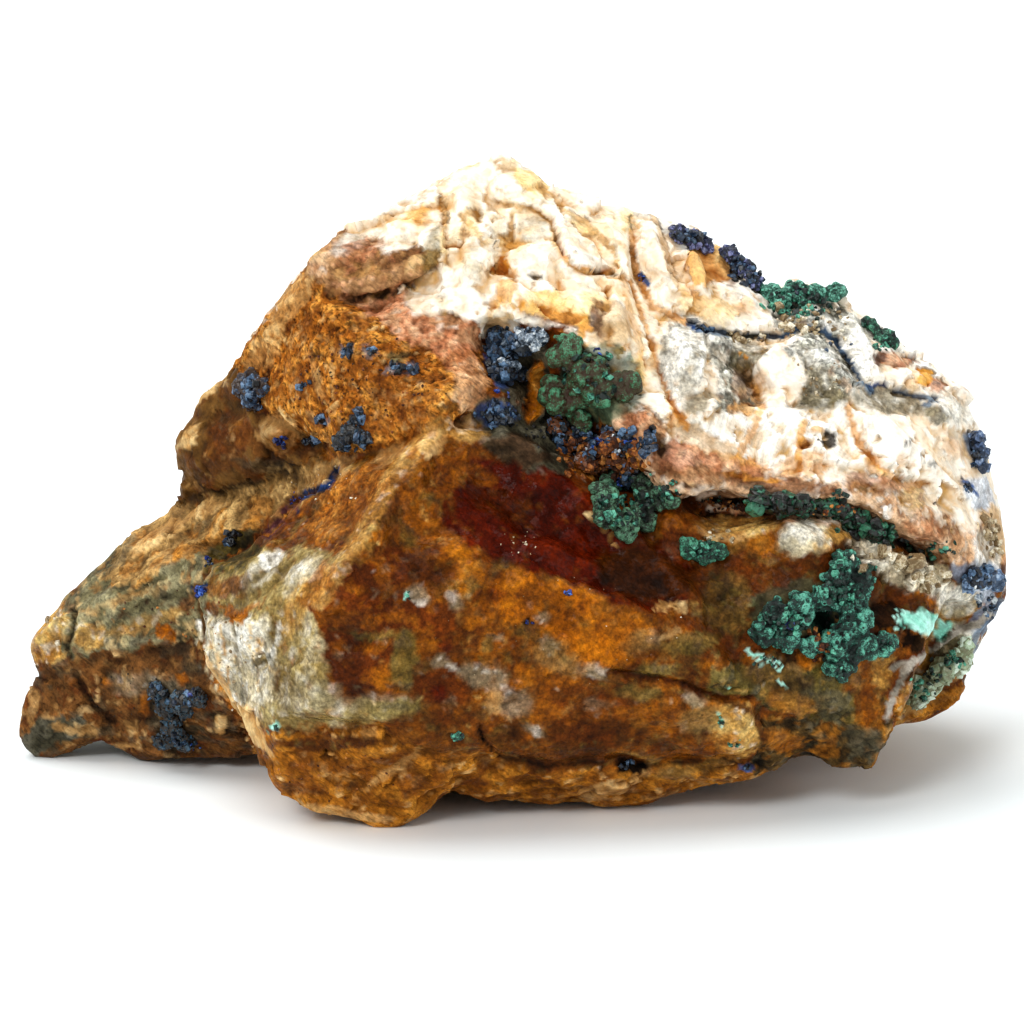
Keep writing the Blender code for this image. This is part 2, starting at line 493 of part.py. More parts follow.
def make_rock(parts, helpers, finish):
    """Joins the blocks, carves the creases, adds the blades, roughens the whole and cuts it off flat
    at the ground."""
    blocks = bpy.data.collections.new("blocks")
    helpers.children.link(blocks)
    for name, corners in BLOCKS.items():
        as_helper(hull(name, [seen(*corner) for corner in corners], blocks))
    body = hull("body", [seen(*corner) for corner in INSIDE], helpers)
    boolean(body, "blocks", "UNION", blocks)
    voxel_remesh(body, VOXEL)
    carved = evaluated_mesh(body)
    carve(carved)
    bpy.data.objects.remove(body)

    plain = add_object("plain_rock", carved, helpers)
    as_helper(plain)
    bm, surface = surface_of(plain)
    for start, end, width, height in BLADES:
        add_hull(bm, blade_corners(start, end, width, height, surface))
    rough = add_object("rough_rock", bpy.data.meshes.new("rough_rock"), helpers)
    as_helper(rough)
    bm.to_mesh(rough.data)
    bm.free()
    voxel_remesh(rough, VOXEL)
    for name, (size, height) in ROUGHNESS.items():
        roughen(rough, name, size, height)
    fine = evaluated_mesh(rough)

    floor = add_object("floor_cutter", bpy.data.meshes.new("floor_cutter"), helpers)
    as_helper(floor)
    bm = bmesh.new()
    bmesh.ops.create_cube(bm, size=1.0, matrix=Matrix.Translation((0, 0, -0.1)) @ Matrix.Scale(0.2, 4))
    bm.to_mesh(floor.data)
    bm.free()
    rock = add_object("host_rock", fine, parts)
    rock.data.materials.append(finish)
    decimate(rock, ROCK_FACES, 2 * len(fine.polygons))
    boolean(rock, "resting faces", "DIFFERENCE", floor)
    keep_largest(rock)
    return rock


def grown(obj, helpers):
    """A cutter: a copy of the object that is GAP larger all round."""
    cutter = add_object(f"{obj.name}_with_gap", obj.data.copy(), helpers)
    as_helper(cutter)
    grow = cutter.modifiers.new("gap", "DISPLACE")
    grow.strength = GAP * MM
    grow.mid_level = 0.0
    return cutter


def make_crust(name, finish, balls, surface, cutters, parts, helpers, rng):
    """A cluster of faceted balls, joined, that follows the rock and stands GAP clear of the cutters."""
    bm = bmesh.new()
    bridges = [
        ((a[0] + b[0]) / 2, (a[1] + b[1]) / 2, min(a[2], b[2]) * BRIDGE)
        for a, b in zip(balls[:-1], balls[1:])
    ]
    for across, down, radius in balls + bridges:
        place, normal = on_surface(surface, across, down)
        axis = Vector((rng.random(), rng.random(), 1.0)).normalized()
        centre = place + normal * radius * LIFT
        spot = Matrix.Translation(centre * MM) @ Matrix.Rotation(rng.uniform(0, math.tau), 4, axis)
        bmesh.ops.create_icosphere(bm, subdivisions=2, radius=radius * MM, matrix=spot)
    mesh = bpy.data.meshes.new(name)
    bm.to_mesh(mesh)
    bm.free()
    loose = add_object(f"{name}_balls", mesh, helpers)
    as_helper(loose)
    voxel_remesh(loose, CRUST_VOXEL)
    joined = evaluated_mesh(loose)
    crust = add_object(name, joined, parts)
    crust.data.materials.append(finish)
    decimate(crust, 40 + FACES_PER_BALL * len(balls), 2 * len(joined.polygons))
    for cutter in cutters:
        boolean(crust, f"clear of {cutter.name}", "DIFFERENCE", cutter, "MANIFOLD")
    keep_largest(crust)
    return crust


def make_crusts(rock, finishes, parts, helpers):
    rng = random.Random(SEED)
    bm, surface = surface_of(rock)
    bm.free()
    cutters = [grown(rock, helpers)]
    for name, (mineral, balls) in CRUSTS.items():
        crust = make_crust(name, finishes[mineral], balls, surface, cutters, parts, helpers, rng)
        cutters.append(grown(crust, helpers))


def fit(parts):
    """Scales and moves every part so that the whole has its stated size and stands over the origin."""
    corners = np.array([v.co for obj in parts.objects for v in obj.data.vertices])
    low, high = corners.min(axis=0), corners.max(axis=0)
    scale = np.array([LENGTH, DEPTH, HEIGHT]) * MM / (high - low)
    foot = Vector(((low[0] + high[0]) / 2, (low[1] + high[1]) / 2, low[2]))
    change = Matrix.Diagonal((*scale, 1.0)) @ Matrix.Translation(-foot)
    for obj in parts.objects:
        obj.data.transform(change)


def main():
    clear_scene()
    parts = collection("azurite_malachite_specimen")
    helpers = collection("cutters")
    finishes = {name: material(name, colour, 0.6) for name, colour in COLOURS.items()}
    rock = make_rock(parts, helpers, finishes["rock"])
    make_crusts(rock, finishes, parts, helpers)
    fit(parts)


main()
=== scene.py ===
"""The looks of the azurite and malachite specimen: a lump of quartz, feldspar and iron oxide with green and blue
crusts.

Laid out as a Blender add-on and run as a script. Lengths in the tables are millimetres, and places are given
in the front view: (across, down) in tenths of a millimetre from the top left corner of a 102.4 mm square.
"""

import json
import math
from itertools import product

import bpy
import numpy as np
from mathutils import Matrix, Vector
from mathutils.bvhtree import BVHTree

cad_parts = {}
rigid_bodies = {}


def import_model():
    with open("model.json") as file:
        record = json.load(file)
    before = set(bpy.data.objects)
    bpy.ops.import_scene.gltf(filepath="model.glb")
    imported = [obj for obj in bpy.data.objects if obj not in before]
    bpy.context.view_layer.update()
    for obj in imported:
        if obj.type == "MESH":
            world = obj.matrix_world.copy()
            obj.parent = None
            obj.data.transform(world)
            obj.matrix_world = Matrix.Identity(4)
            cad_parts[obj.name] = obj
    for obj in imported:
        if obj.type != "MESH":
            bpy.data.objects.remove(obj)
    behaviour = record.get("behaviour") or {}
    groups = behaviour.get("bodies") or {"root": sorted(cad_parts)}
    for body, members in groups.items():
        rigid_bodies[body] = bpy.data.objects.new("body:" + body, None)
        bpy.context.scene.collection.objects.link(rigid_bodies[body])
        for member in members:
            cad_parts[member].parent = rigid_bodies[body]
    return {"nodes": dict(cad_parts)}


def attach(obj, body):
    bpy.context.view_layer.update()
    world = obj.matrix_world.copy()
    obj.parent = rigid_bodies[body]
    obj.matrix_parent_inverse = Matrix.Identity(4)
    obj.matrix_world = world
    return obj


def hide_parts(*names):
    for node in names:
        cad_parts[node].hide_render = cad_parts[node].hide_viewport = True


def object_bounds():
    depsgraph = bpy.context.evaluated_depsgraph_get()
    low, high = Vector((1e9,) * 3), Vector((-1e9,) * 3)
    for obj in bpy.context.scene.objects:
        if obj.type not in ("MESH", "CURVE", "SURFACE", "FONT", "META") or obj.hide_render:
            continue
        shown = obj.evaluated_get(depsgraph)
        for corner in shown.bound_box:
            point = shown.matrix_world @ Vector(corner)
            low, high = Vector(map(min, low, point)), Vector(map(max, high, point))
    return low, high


bl_info = {
    "name": "Azurite and malachite specimen",
    "version": (1, 0, 0),
    "blender": (4, 5, 0),
    "location": "3D View > Sidebar > Specimen",
    "description": "Dresses the packed solids of the specimen in rock, crystals and crusts",
    "category": "Object",
}

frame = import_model()
CAD_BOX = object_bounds()
MM = 0.001
BOX_MARGIN = 0.02  # mm that the looks stay inside the box of the solids

# ---------------------------------------------------------------- the front view
VIEW_WIDTH = 102.4  # mm across the picture at the middle of the specimen
VIEW_DISTANCE = 380.0  # mm from there to the eye
VIEW_ELEVATION = math.radians(12)
VIEW_HEIGHT = 26.3  # mm over the floor that the picture's middle looks at
FORWARD = np.array((0.0, math.cos(VIEW_ELEVATION), -math.sin(VIEW_ELEVATION)))
UPWARD = np.array((0.0, math.sin(VIEW_ELEVATION), math.cos(VIEW_ELEVATION)))
EYE = np.array((0.0, 0.0, VIEW_HEIGHT)) - FORWARD * VIEW_DISTANCE
# The solids stand centred and scaled to their stated size, so the view's own frame is reached by undoing that.
FIT_MIDDLE = np.array((-0.4266, 1.8405, 0.0))
FIT_SCALE = np.array((0.99891, 0.99093, 0.99587))


def in_view(points):
    """Where points in mm show in the front view, (across, down) in tenths of mm, and how many mm they are away."""
    offset = points / FIT_SCALE + FIT_MIDDLE - EYE
    depth = offset @ FORWARD
    across = 10 * (VIEW_WIDTH / 2 + offset[:, 0] * VIEW_DISTANCE / depth)
    down = 10 * (VIEW_WIDTH / 2 - offset @ UPWARD * VIEW_DISTANCE / depth)
    return np.column_stack([across, down]), depth


def view_ray(across, down):
    """The eye, in mm, and the direction of the line of sight through a place in the front view."""
    ray = FORWARD * VIEW_DISTANCE + UPWARD * (VIEW_WIDTH / 2 - down / 10)
    ray = ray + np.array((across / 10 - VIEW_WIDTH / 2, 0, 0))
    start = (EYE - FIT_MIDDLE) * FIT_SCALE
    return Vector(start), Vector(ray * FIT_SCALE).normalized()


# ---------------------------------------------------------------- numbers and noise
TURN = np.array(((0.36, 0.48, -0.8), (-0.8, 0.6, 0.0), (0.48, 0.64, 0.6)))  # an octave's grid on the one before
OCTAVE_STEP = 2.03  # how much finer each octave is
SALT_SHIFT = 7.31  # cells from the noise of one salt to the next
NOISE_GAIN = 1.6  # brings the noise to about -1 to 1


def hashed(cells, salt):
    """A repeatable number from 0 to 1 for each row of whole numbers: multiplied by odd constants, added and mixed."""
    n = cells[:, 0].astype(np.uint32) * np.uint32(0x9E3779B1)
    n ^= cells[:, 1].astype(np.uint32) * np.uint32(0x85EBCA77)
    n ^= cells[:, 2].astype(np.uint32) * np.uint32(0xC2B2AE3D)
    n ^= np.uint32((salt * 0x27D4EB2F + 0x165667B1) & 0xFFFFFFFF)
    for shift, factor in ((15, 0x2C1B3C6D), (12, 0x297A2D39), (15, 0x85EBCA6B)):
        n ^= n >> np.uint32(shift)
        n *= np.uint32(factor)
    n ^= n >> np.uint32(16)
    return n / 4294967296.0


def smooth(values, low, high):
    """0 below low, 1 above high, and the curve 3t^2 - 2t^3 between them."""
    t = np.clip((values - low) / (high - low), 0, 1)
    return t * t * (3 - 2 * t)


def noise(points, size, salt, octaves=1):
    """Smooth noise from about -1 to 1: random numbers at the corners of cubes `size` mm wide, blended along each
    axis by a smooth step. Each further octave is half as wide and half as strong, on a turned grid."""
    total, strength, whole = 0.0, 1.0, 0.0
    p = points / size + salt * SALT_SHIFT
    for octave in range(octaves):
        cell = np.floor(p).astype(np.int64)
        f = p - cell
        f = f * f * (3 - 2 * f)
        value = 0.0
        for corner in product((0, 1), repeat=3):
            share = np.prod(np.where(corner, f, 1 - f), axis=1)
            value = value + share * hashed(cell + corner, salt + octave)
        total = total + strength * (value * 2 - 1)
        whole += strength
        strength *= 0.5
        p = p @ TURN * OCTAVE_STEP
    return total / whole * NOISE_GAIN


def cells(points, size, salt, shape=None):
    """The nearest and second nearest of random seeds, one in each cube `size` mm wide. `shape` is a matrix that
    stretches the cells. Returns both distances, the offset from the nearest seed and three random numbers of it."""
    p = (points if shape is None else points @ shape) / size
    home = np.floor(p).astype(np.int64)
    count = len(p)
    first, second = np.full(count, 9.0), np.full(count, 9.0)
    offset, owner = np.zeros((count, 3)), np.zeros((count, 3), np.int64)
    for step in product((-1, 0, 1), repeat=3):
        cell = home + step
        seed = cell + np.column_stack([hashed(cell, salt * 3 + axis) for axis in range(3)])
        away = p - seed
        distance = np.sqrt((away * away).sum(axis=1))
        nearer = distance < first
        second = np.where(nearer, first, np.minimum(second, distance))
        first = np.where(nearer, distance, first)
        offset[nearer] = away[nearer]
        owner[nearer] = cell[nearer]
    draws = np.column_stack([hashed(owner, salt * 3 + 100 + axis) for axis in range(3)])
    return first * size, second * size, offset * size, draws


def facets(points, size, lean, salt, shape=None, step=0.0, way=(0, 0, 0)):
    """Heights of a surface broken into flat faces: each cell is a plane that leans a random way through its seed,
    more often the given way, and stands a random step higher or lower: height = offset . lean + step."""
    _, _, offset, draws = cells(points, size, salt, shape)
    return (offset * (draws * 2 - 1 + way)).sum(axis=1) * lean + (draws[:, 0] - 0.5) * step


def grains(points, size, height, salt, shape=None):
    """Heights of packed round grains: each cell rises to a dome, height * (1 - (distance / radius)^2)."""
    near, far, _, draws = cells(points, size, salt, shape)
    return height * (0.6 + 0.8 * draws[:, 0]) * (1 - (2 * near / (near + far)) ** 2)


def along(direction, stretch):
    """A matrix that makes a pattern `stretch` times longer along a direction: the identity less a share of the
    direction's own part."""
    d = np.array(direction, float)
    d /= np.linalg.norm(d)
    return np.eye(3) - (1 - 1 / stretch) * np.outer(d, d)


# ---------------------------------------------------------------- finishes of the rock
def linear(code):
    """An sRGB hex colour as linear red, green and blue: c / 12.92 below 0.04045, else ((c + 0.055) / 1.055)^2.4."""
    srgb = [int(code[i : i + 2], 16) / 255 for i in (1, 3, 5)]
    return [c / 12.92 if c <= 0.04045 else ((c + 0.055) / 1.055) ** 2.4 for c in srgb]


# name: (light, middle and dark colour, roughness, kind of relief)
FINISHES = {
    "feldspar_white": ("#fffcf6", "#f8efe0", "#c89e5e", 0.42, "blades"),
    "feldspar_cream": ("#fffaee", "#fbeaca", "#c88a3c", 0.42, "blades"),
    "feldspar_sheaf": ("#ffffff", "#faf2e4", "#c49c64", 0.40, "fibres"),
    "feldspar_pink": ("#ecc8a4", "#c2946c", "#7c4e2c", 0.65, "sugar"),
    "feldspar_brown": ("#bc9064", "#7e5430", "#3e2410", 0.60, "sugar"),
    "quartz_white": ("#fbfaf6", "#e0dbd0", "#978b74", 0.20, "glass"),
    "quartz_plate": ("#f5eedc", "#c2b392", "#70603e", 0.16, "glass"),
    "quartz_crystal": ("#f4ecda", "#c4b498", "#765f3e", 0.12, "crystal"),
    "quartz_spark": ("#d8d6ca", "#848274", "#322f25", 0.12, "spark"),
    "quartz_honey": ("#baa874", "#8c7646", "#4e3a18", 0.18, "glass"),
    "quartz_grey": ("#b5ac96", "#857a62", "#483e2a", 0.18, "glass"),
    "quartz_olive": ("#8e7c48", "#665628", "#2e250f", 0.20, "glass"),
    "quartz_yellow": ("#e8cb84", "#b98b45", "#6e461a", 0.20, "glass"),
    "amber": ("#b06c1a", "#7e460c", "#452106", 0.24, "glass"),
    "amber_dark": ("#74400e", "#4c2606", "#261003", 0.26, "glass"),
    "rust": ("#7e3c0a", "#562606", "#2a1003", 0.45, "glass"),
    "maroon": ("#7c2806", "#4c1102", "#200400", 0.22, "glass"),
    "gold": ("#f0c070", "#d8963c", "#96541a", 0.40, "smooth"),
    "umber": ("#643608", "#3c1e04", "#180a02", 0.25, "glass"),
    "orange": ("#c88018", "#a25c0a", "#6a3404", 0.35, "glass"),
    "red_pink": ("#e6b088", "#b87852", "#6a3a1e", 0.70, "sugar"),
    "limonite": ("#dc9c48", "#a8641f", "#54280a", 0.85, "grain"),
    "ochre": ("#d08e34", "#9c6018", "#5a330a", 0.65, "layer"),
    "loam": ("#dcb678", "#a88450", "#60441e", 0.60, "layer"),
    "bark": ("#785c32", "#463318", "#20160a", 0.55, "layer"),
    "honey": ("#ffe6ac", "#f5cc80", "#cc9044", 0.40, "smooth"),
    "fin": ("#bcb2a6", "#8e8476", "#564c40", 0.40, "smooth"),
    "navy": ("#2c4a80", "#122244", "#060c1c", 0.40, "smooth"),
    "tan": ("#ecce96", "#c4965a", "#83592a", 0.50, "smooth"),
    "goethite": ("#86602f", "#5a3c18", "#302010", 0.45, "smooth"),
    "grey_green": ("#9e9674", "#736b4c", "#48412c", 0.50, "earth"),
    "red_brown": ("#8c5c2e", "#654220", "#38200e", 0.60, "earth"),
    "slate": ("#6c6656", "#4a4534", "#2a261b", 0.50, "earth"),
    # The next finish is no mineral: it is painted shade, near black, laid in pockets, holes, cracks, pits and under
    # ledges.
    "hollow_shade": ("#2a170a", "#130a05", "#050302", 0.90, "earth"),
    "blue": ("#3f6ca8", "#1c3c70", "#0a1832", 0.45, "smooth"),
    "blue_grey": ("#8296a8", "#4a5b70", "#202e3e", 0.45, "smooth"),
    "blue_pale": ("#eef0f2", "#c8ced8", "#8490a4", 0.40, "glass"),
    "green": ("#3c8068", "#1c5240", "#0a281c", 0.55, "smooth"),
    "turquoise": ("#c0f0e2", "#84ccb6", "#3f937c", 0.50, "film"),
}
NAMES = list(FINISHES)
RELIEFS = ("blades", "fibres", "grain", "sugar", "glass", "spark", "crystal", "earth", "smooth", "layer", "film")
# How much the small flat faces of each kind of relief lean, and how much its fine grain shows.
FACETED = {
    "blades": 0.1, "fibres": 0.12, "grain": 0.2, "sugar": 0.25, "glass": 0.35, "spark": 1.1, "crystal": 0.9,
    "earth": 0.35, "smooth": 0.25, "layer": 0.35, "film": 0.1,
}
GRAINED = {
    "blades": 0.1, "fibres": 0.2, "grain": 1.0, "sugar": 0.5, "glass": 0.2, "spark": 0.5, "crystal": 0.1,
    "earth": 0.6, "smooth": 0.3, "layer": 0.6, "film": 0.3,
}

# Areas of one finish, painted in order: finish, edge softness in mm, corners.
ZONES = [
    # the front block and all below the seam
    ("amber", 0.5, [(437, 418), (500, 440), (560, 480), (640, 560), (700, 500), (760, 510), (900, 540), (1010, 560),
     (1020, 640), (880, 780), (700, 810), (400, 840), (260, 800), (190, 660), (190, 560), (270, 520), (345, 455)]),
    ("rust", 0.5, [(470, 330), (560, 318), (600, 345), (632, 410), (655, 450), (690, 480), (700, 500), (700, 560),
     (640, 570), (560, 490), (500, 450), (470, 440)]),
    ("slate", 0.6, [(490, 415), (560, 415), (570, 450), (560, 480), (520, 458), (490, 445)]),
    ("maroon", 0.4, [(540, 460), (575, 480), (630, 535), (690, 556), (690, 580), (640, 570), (590, 530),
     (540, 480)]),
    # the white cap, its pink foot and the granular face
    ("feldspar_white", 0.4, [(425, 180), (476, 140), (520, 130), (604, 185), (720, 210), (850, 260), (1020, 420),
     (1020, 545), (975, 535), (900, 522), (820, 500), (750, 486), (690, 480), (655, 450), (632, 410), (600, 350),
     (560, 320), (480, 322), (440, 290)]),
    ("feldspar_cream", 1.2, [(425, 180), (476, 140), (520, 130), (604, 185), (650, 205), (640, 300), (668, 400),
     (640, 420), (600, 345), (560, 315), (490, 318), (440, 290)]),
    ("limonite", 0.4, [(225, 360), (265, 320), (285, 285), (308, 255), (345, 296), (400, 300), (470, 322),
     (487, 350), (492, 405), (470, 415), (437, 420), (399, 437), (343, 458), (322, 437), (265, 408), (240, 395)]),
    ("feldspar_cream", 0.6, [(330, 235), (350, 212), (380, 212), (400, 205), (441, 200), (446, 262), (400, 262),
     (350, 250)]),
    ("feldspar_brown", 0.4, [(300, 270), (310, 235), (330, 222), (352, 230), (385, 246), (405, 240), (425, 250),
     (444, 250), (444, 275), (409, 290), (357, 301), (330, 292)]),
    ("red_pink", 0.5, [(355, 299), (400, 292), (440, 296), (480, 315), (482, 345), (440, 347), (400, 340),
     (372, 320)]),
    ("feldspar_pink", 0.7, [(612, 395), (645, 408), (670, 436), (730, 456), (800, 470), (870, 482), (905, 500),
     (985, 516), (995, 560), (955, 562), (900, 532), (840, 513), (760, 500), (690, 492), (650, 480), (622, 440)]),
    # the left shoulder and the tail
    ("goethite", 0.3, [(160, 505), (175, 430), (195, 380), (235, 365), (262, 405), (322, 437), (345, 458),
     (326, 478), (276, 492), (226, 487)]),
    ("loam", 0.4, [(100, 575), (120, 545), (165, 500), (203, 492), (249, 476), (300, 462), (345, 458), (330, 482),
     (290, 510), (262, 540), (215, 545), (170, 575), (120, 590)]),
    ("grey_green", 0.4, [(60, 600), (100, 578), (150, 580), (200, 548), (270, 530), (225, 566), (205, 582),
     (205, 650), (150, 655), (80, 655)]),
    ("red_brown", 0.5, [(0, 660), (60, 648), (100, 650), (205, 640), (240, 710), (275, 770), (0, 780)]),
    ("quartz_yellow", 0.3, [(10, 600), (60, 595), (72, 610), (68, 650), (40, 660), (10, 655)]),
    ("slate", 0.3, [(15, 760), (34, 722), (60, 712), (88, 714), (80, 732), (50, 742), (40, 762)]),
    # the quartz plates at the front block's left edge
    ("quartz_honey", 0.5, [(265, 540), (300, 545), (345, 548), (322, 590), (300, 640), (275, 660), (240, 640),
     (205, 600), (225, 566)]),
    ("quartz_plate", 0.4, [(200, 612), (240, 612), (275, 612), (272, 650), (288, 690), (270, 712), (240, 705),
     (205, 660)]),
    ("quartz_honey", 0.7, [(275, 606), (312, 590), (330, 640), (335, 690), (420, 700), (415, 715), (280, 722),
     (262, 700), (285, 680), (270, 650)]),
    ("ochre", 0.4, [(268, 726), (391, 722), (470, 742), (520, 752), (520, 840), (270, 840)]),
    # the amber face of the front block
    ("maroon", 1.0, [(470, 452), (520, 458), (560, 478), (600, 510), (650, 540), (690, 556), (690, 590), (657, 607),
     (613, 592), (565, 580), (517, 562), (470, 545), (440, 520)]),
    ("orange", 1.6, [(484, 572), (520, 568), (565, 584), (613, 596), (650, 612), (655, 640), (622, 664), (590, 655),
     (560, 640), (500, 610)]),
    ("rust", 0.2, [(313, 606), (334, 574), (352, 548), (384, 541), (432, 560), (456, 590), (452, 640), (400, 631),
     (342, 622), (324, 626)]),
    ("rust", 0.2, [(326, 630), (342, 628), (394, 636), (402, 660), (392, 690), (354, 696), (336, 672)]),
    ("ochre", 0.5, [(504, 764), (600, 762), (699, 758), (790, 752), (790, 780), (650, 815), (500, 815)]),
    # the brown face at the lower right and its fin, its dark brown partly painted shade round the pocket
    ("amber_dark", 0.8, [(690, 552), (760, 556), (850, 545), (930, 580), (935, 604), (900, 612), (860, 640),
     (790, 650), (740, 650), (700, 660), (680, 610)]),
    ("quartz_olive", 0.5, [(712, 668), (735, 655), (790, 664), (850, 650), (862, 690), (850, 720), (800, 712),
     (740, 694), (712, 690)]),
    ("amber", 0.4, [(846, 660), (878, 652), (898, 655), (890, 700), (878, 730), (850, 720)]),
    ("bark", 0.4, [(756, 716), (800, 712), (885, 722), (885, 770), (756, 770)]),
    ("ochre", 0.4, [(890, 700), (960, 672), (965, 700), (890, 722)]),
    ("amber", 0.4, [(898, 700), (915, 665), (965, 625), (975, 690), (925, 705)]),
]

# How the finishes of the areas break up: finish, the finish that shows in it, width in mm, level, cover.
MOTTLES = [
    ("amber", "amber_dark", 2.8, 0.1, 0.6), ("amber", "quartz_olive", 1.8, 0.35, 0.5),
    ("amber", "orange", 2.6, 0.3, 0.5), ("amber", "rust", 1.2, 0.3, 0.6), ("amber", "quartz_yellow", 0.7, 0.6, 0.5),
    ("maroon", "rust", 1.2, 0.45, 0.5), ("orange", "rust", 1.3, 0.4, 0.5), ("orange", "amber", 1.4, 0.1, 0.6),
    ("rust", "amber", 1.4, 0.25, 0.6), ("rust", "quartz_grey", 0.9, 0.62, 0.3), ("amber_dark", "rust", 1.2, 0.2, 0.6),
    ("amber_dark", "quartz_olive", 0.9, 0.45, 0.5), ("limonite", "rust", 1.3, 0.3, 0.5),
    # In the iron oxide, near black painted shade fills some of its pits.
    ("limonite", "tan", 0.7, 0.45, 0.6), ("limonite", "hollow_shade", 0.6, 0.6, 0.6), ("ochre", "rust", 1.8, 0.25, 0.5),
    ("ochre", "tan", 1.1, 0.45, 0.5), ("grey_green", "tan", 1.2, 0.4, 0.5), ("grey_green", "slate", 1.6, 0.3, 0.6),
    ("grey_green", "rust", 1.4, 0.55, 0.5), ("red_brown", "slate", 1.6, 0.25, 0.5),
    ("red_brown", "tan", 1.0, 0.55, 0.5), ("red_brown", "rust", 1.2, 0.35, 0.6), ("goethite", "rust", 2.0, 0.3, 0.4),
    ("goethite", "tan", 1.0, 0.65, 0.4), ("feldspar_pink", "feldspar_white", 1.0, 0.42, 0.6),
    ("feldspar_pink", "rust", 0.8, 0.45, 0.6), ("feldspar_brown", "tan", 1.6, 0.35, 0.5),
    ("feldspar_brown", "red_pink", 0.9, 0.4, 0.6), ("red_pink", "feldspar_pink", 0.9, 0.2, 0.7),
    ("red_pink", "rust", 0.8, 0.45, 0.7), ("quartz_white", "quartz_grey", 1.3, 0.3, 0.5),
    ("quartz_white", "tan", 0.8, 0.5, 0.5), ("quartz_plate", "quartz_grey", 1.4, 0.25, 0.6),
    ("quartz_plate", "quartz_white", 1.0, 0.3, 0.7), ("quartz_plate", "quartz_yellow", 1.2, 0.45, 0.6),
    ("quartz_crystal", "quartz_grey", 0.9, 0.3, 0.6), ("quartz_crystal", "amber_dark", 0.8, 0.5, 0.6),
    ("quartz_spark", "quartz_white", 0.8, 0.25, 0.8), ("quartz_spark", "feldspar_brown", 0.8, 0.35, 0.6),
    ("quartz_honey", "quartz_plate", 1.4, 0.35, 0.5), ("quartz_honey", "amber", 0.9, 0.5, 0.5),
    ("loam", "ochre", 1.6, 0.3, 0.6), ("loam", "goethite", 1.1, 0.35, 0.6), ("bark", "ochre", 1.1, 0.4, 0.6),
    ("bark", "slate", 1.3, 0.3, 0.6), ("quartz_grey", "quartz_white", 0.9, 0.35, 0.6),
    ("quartz_grey", "slate", 0.9, 0.45, 0.6), ("quartz_yellow", "amber", 1.2, 0.35, 0.6),
    ("quartz_yellow", "quartz_white", 0.8, 0.5, 0.5), ("quartz_olive", "slate", 1.0, 0.3, 0.6),
    ("quartz_olive", "quartz_yellow", 0.8, 0.55, 0.5), ("feldspar_white", "quartz_grey", 1.6, 0.55, 0.3),
    ("feldspar_white", "tan", 0.9, 0.62, 0.5), ("feldspar_cream", "tan", 1.1, 0.5, 0.5),
    ("feldspar_cream", "feldspar_white", 2.0, 0.0, 0.6),
]
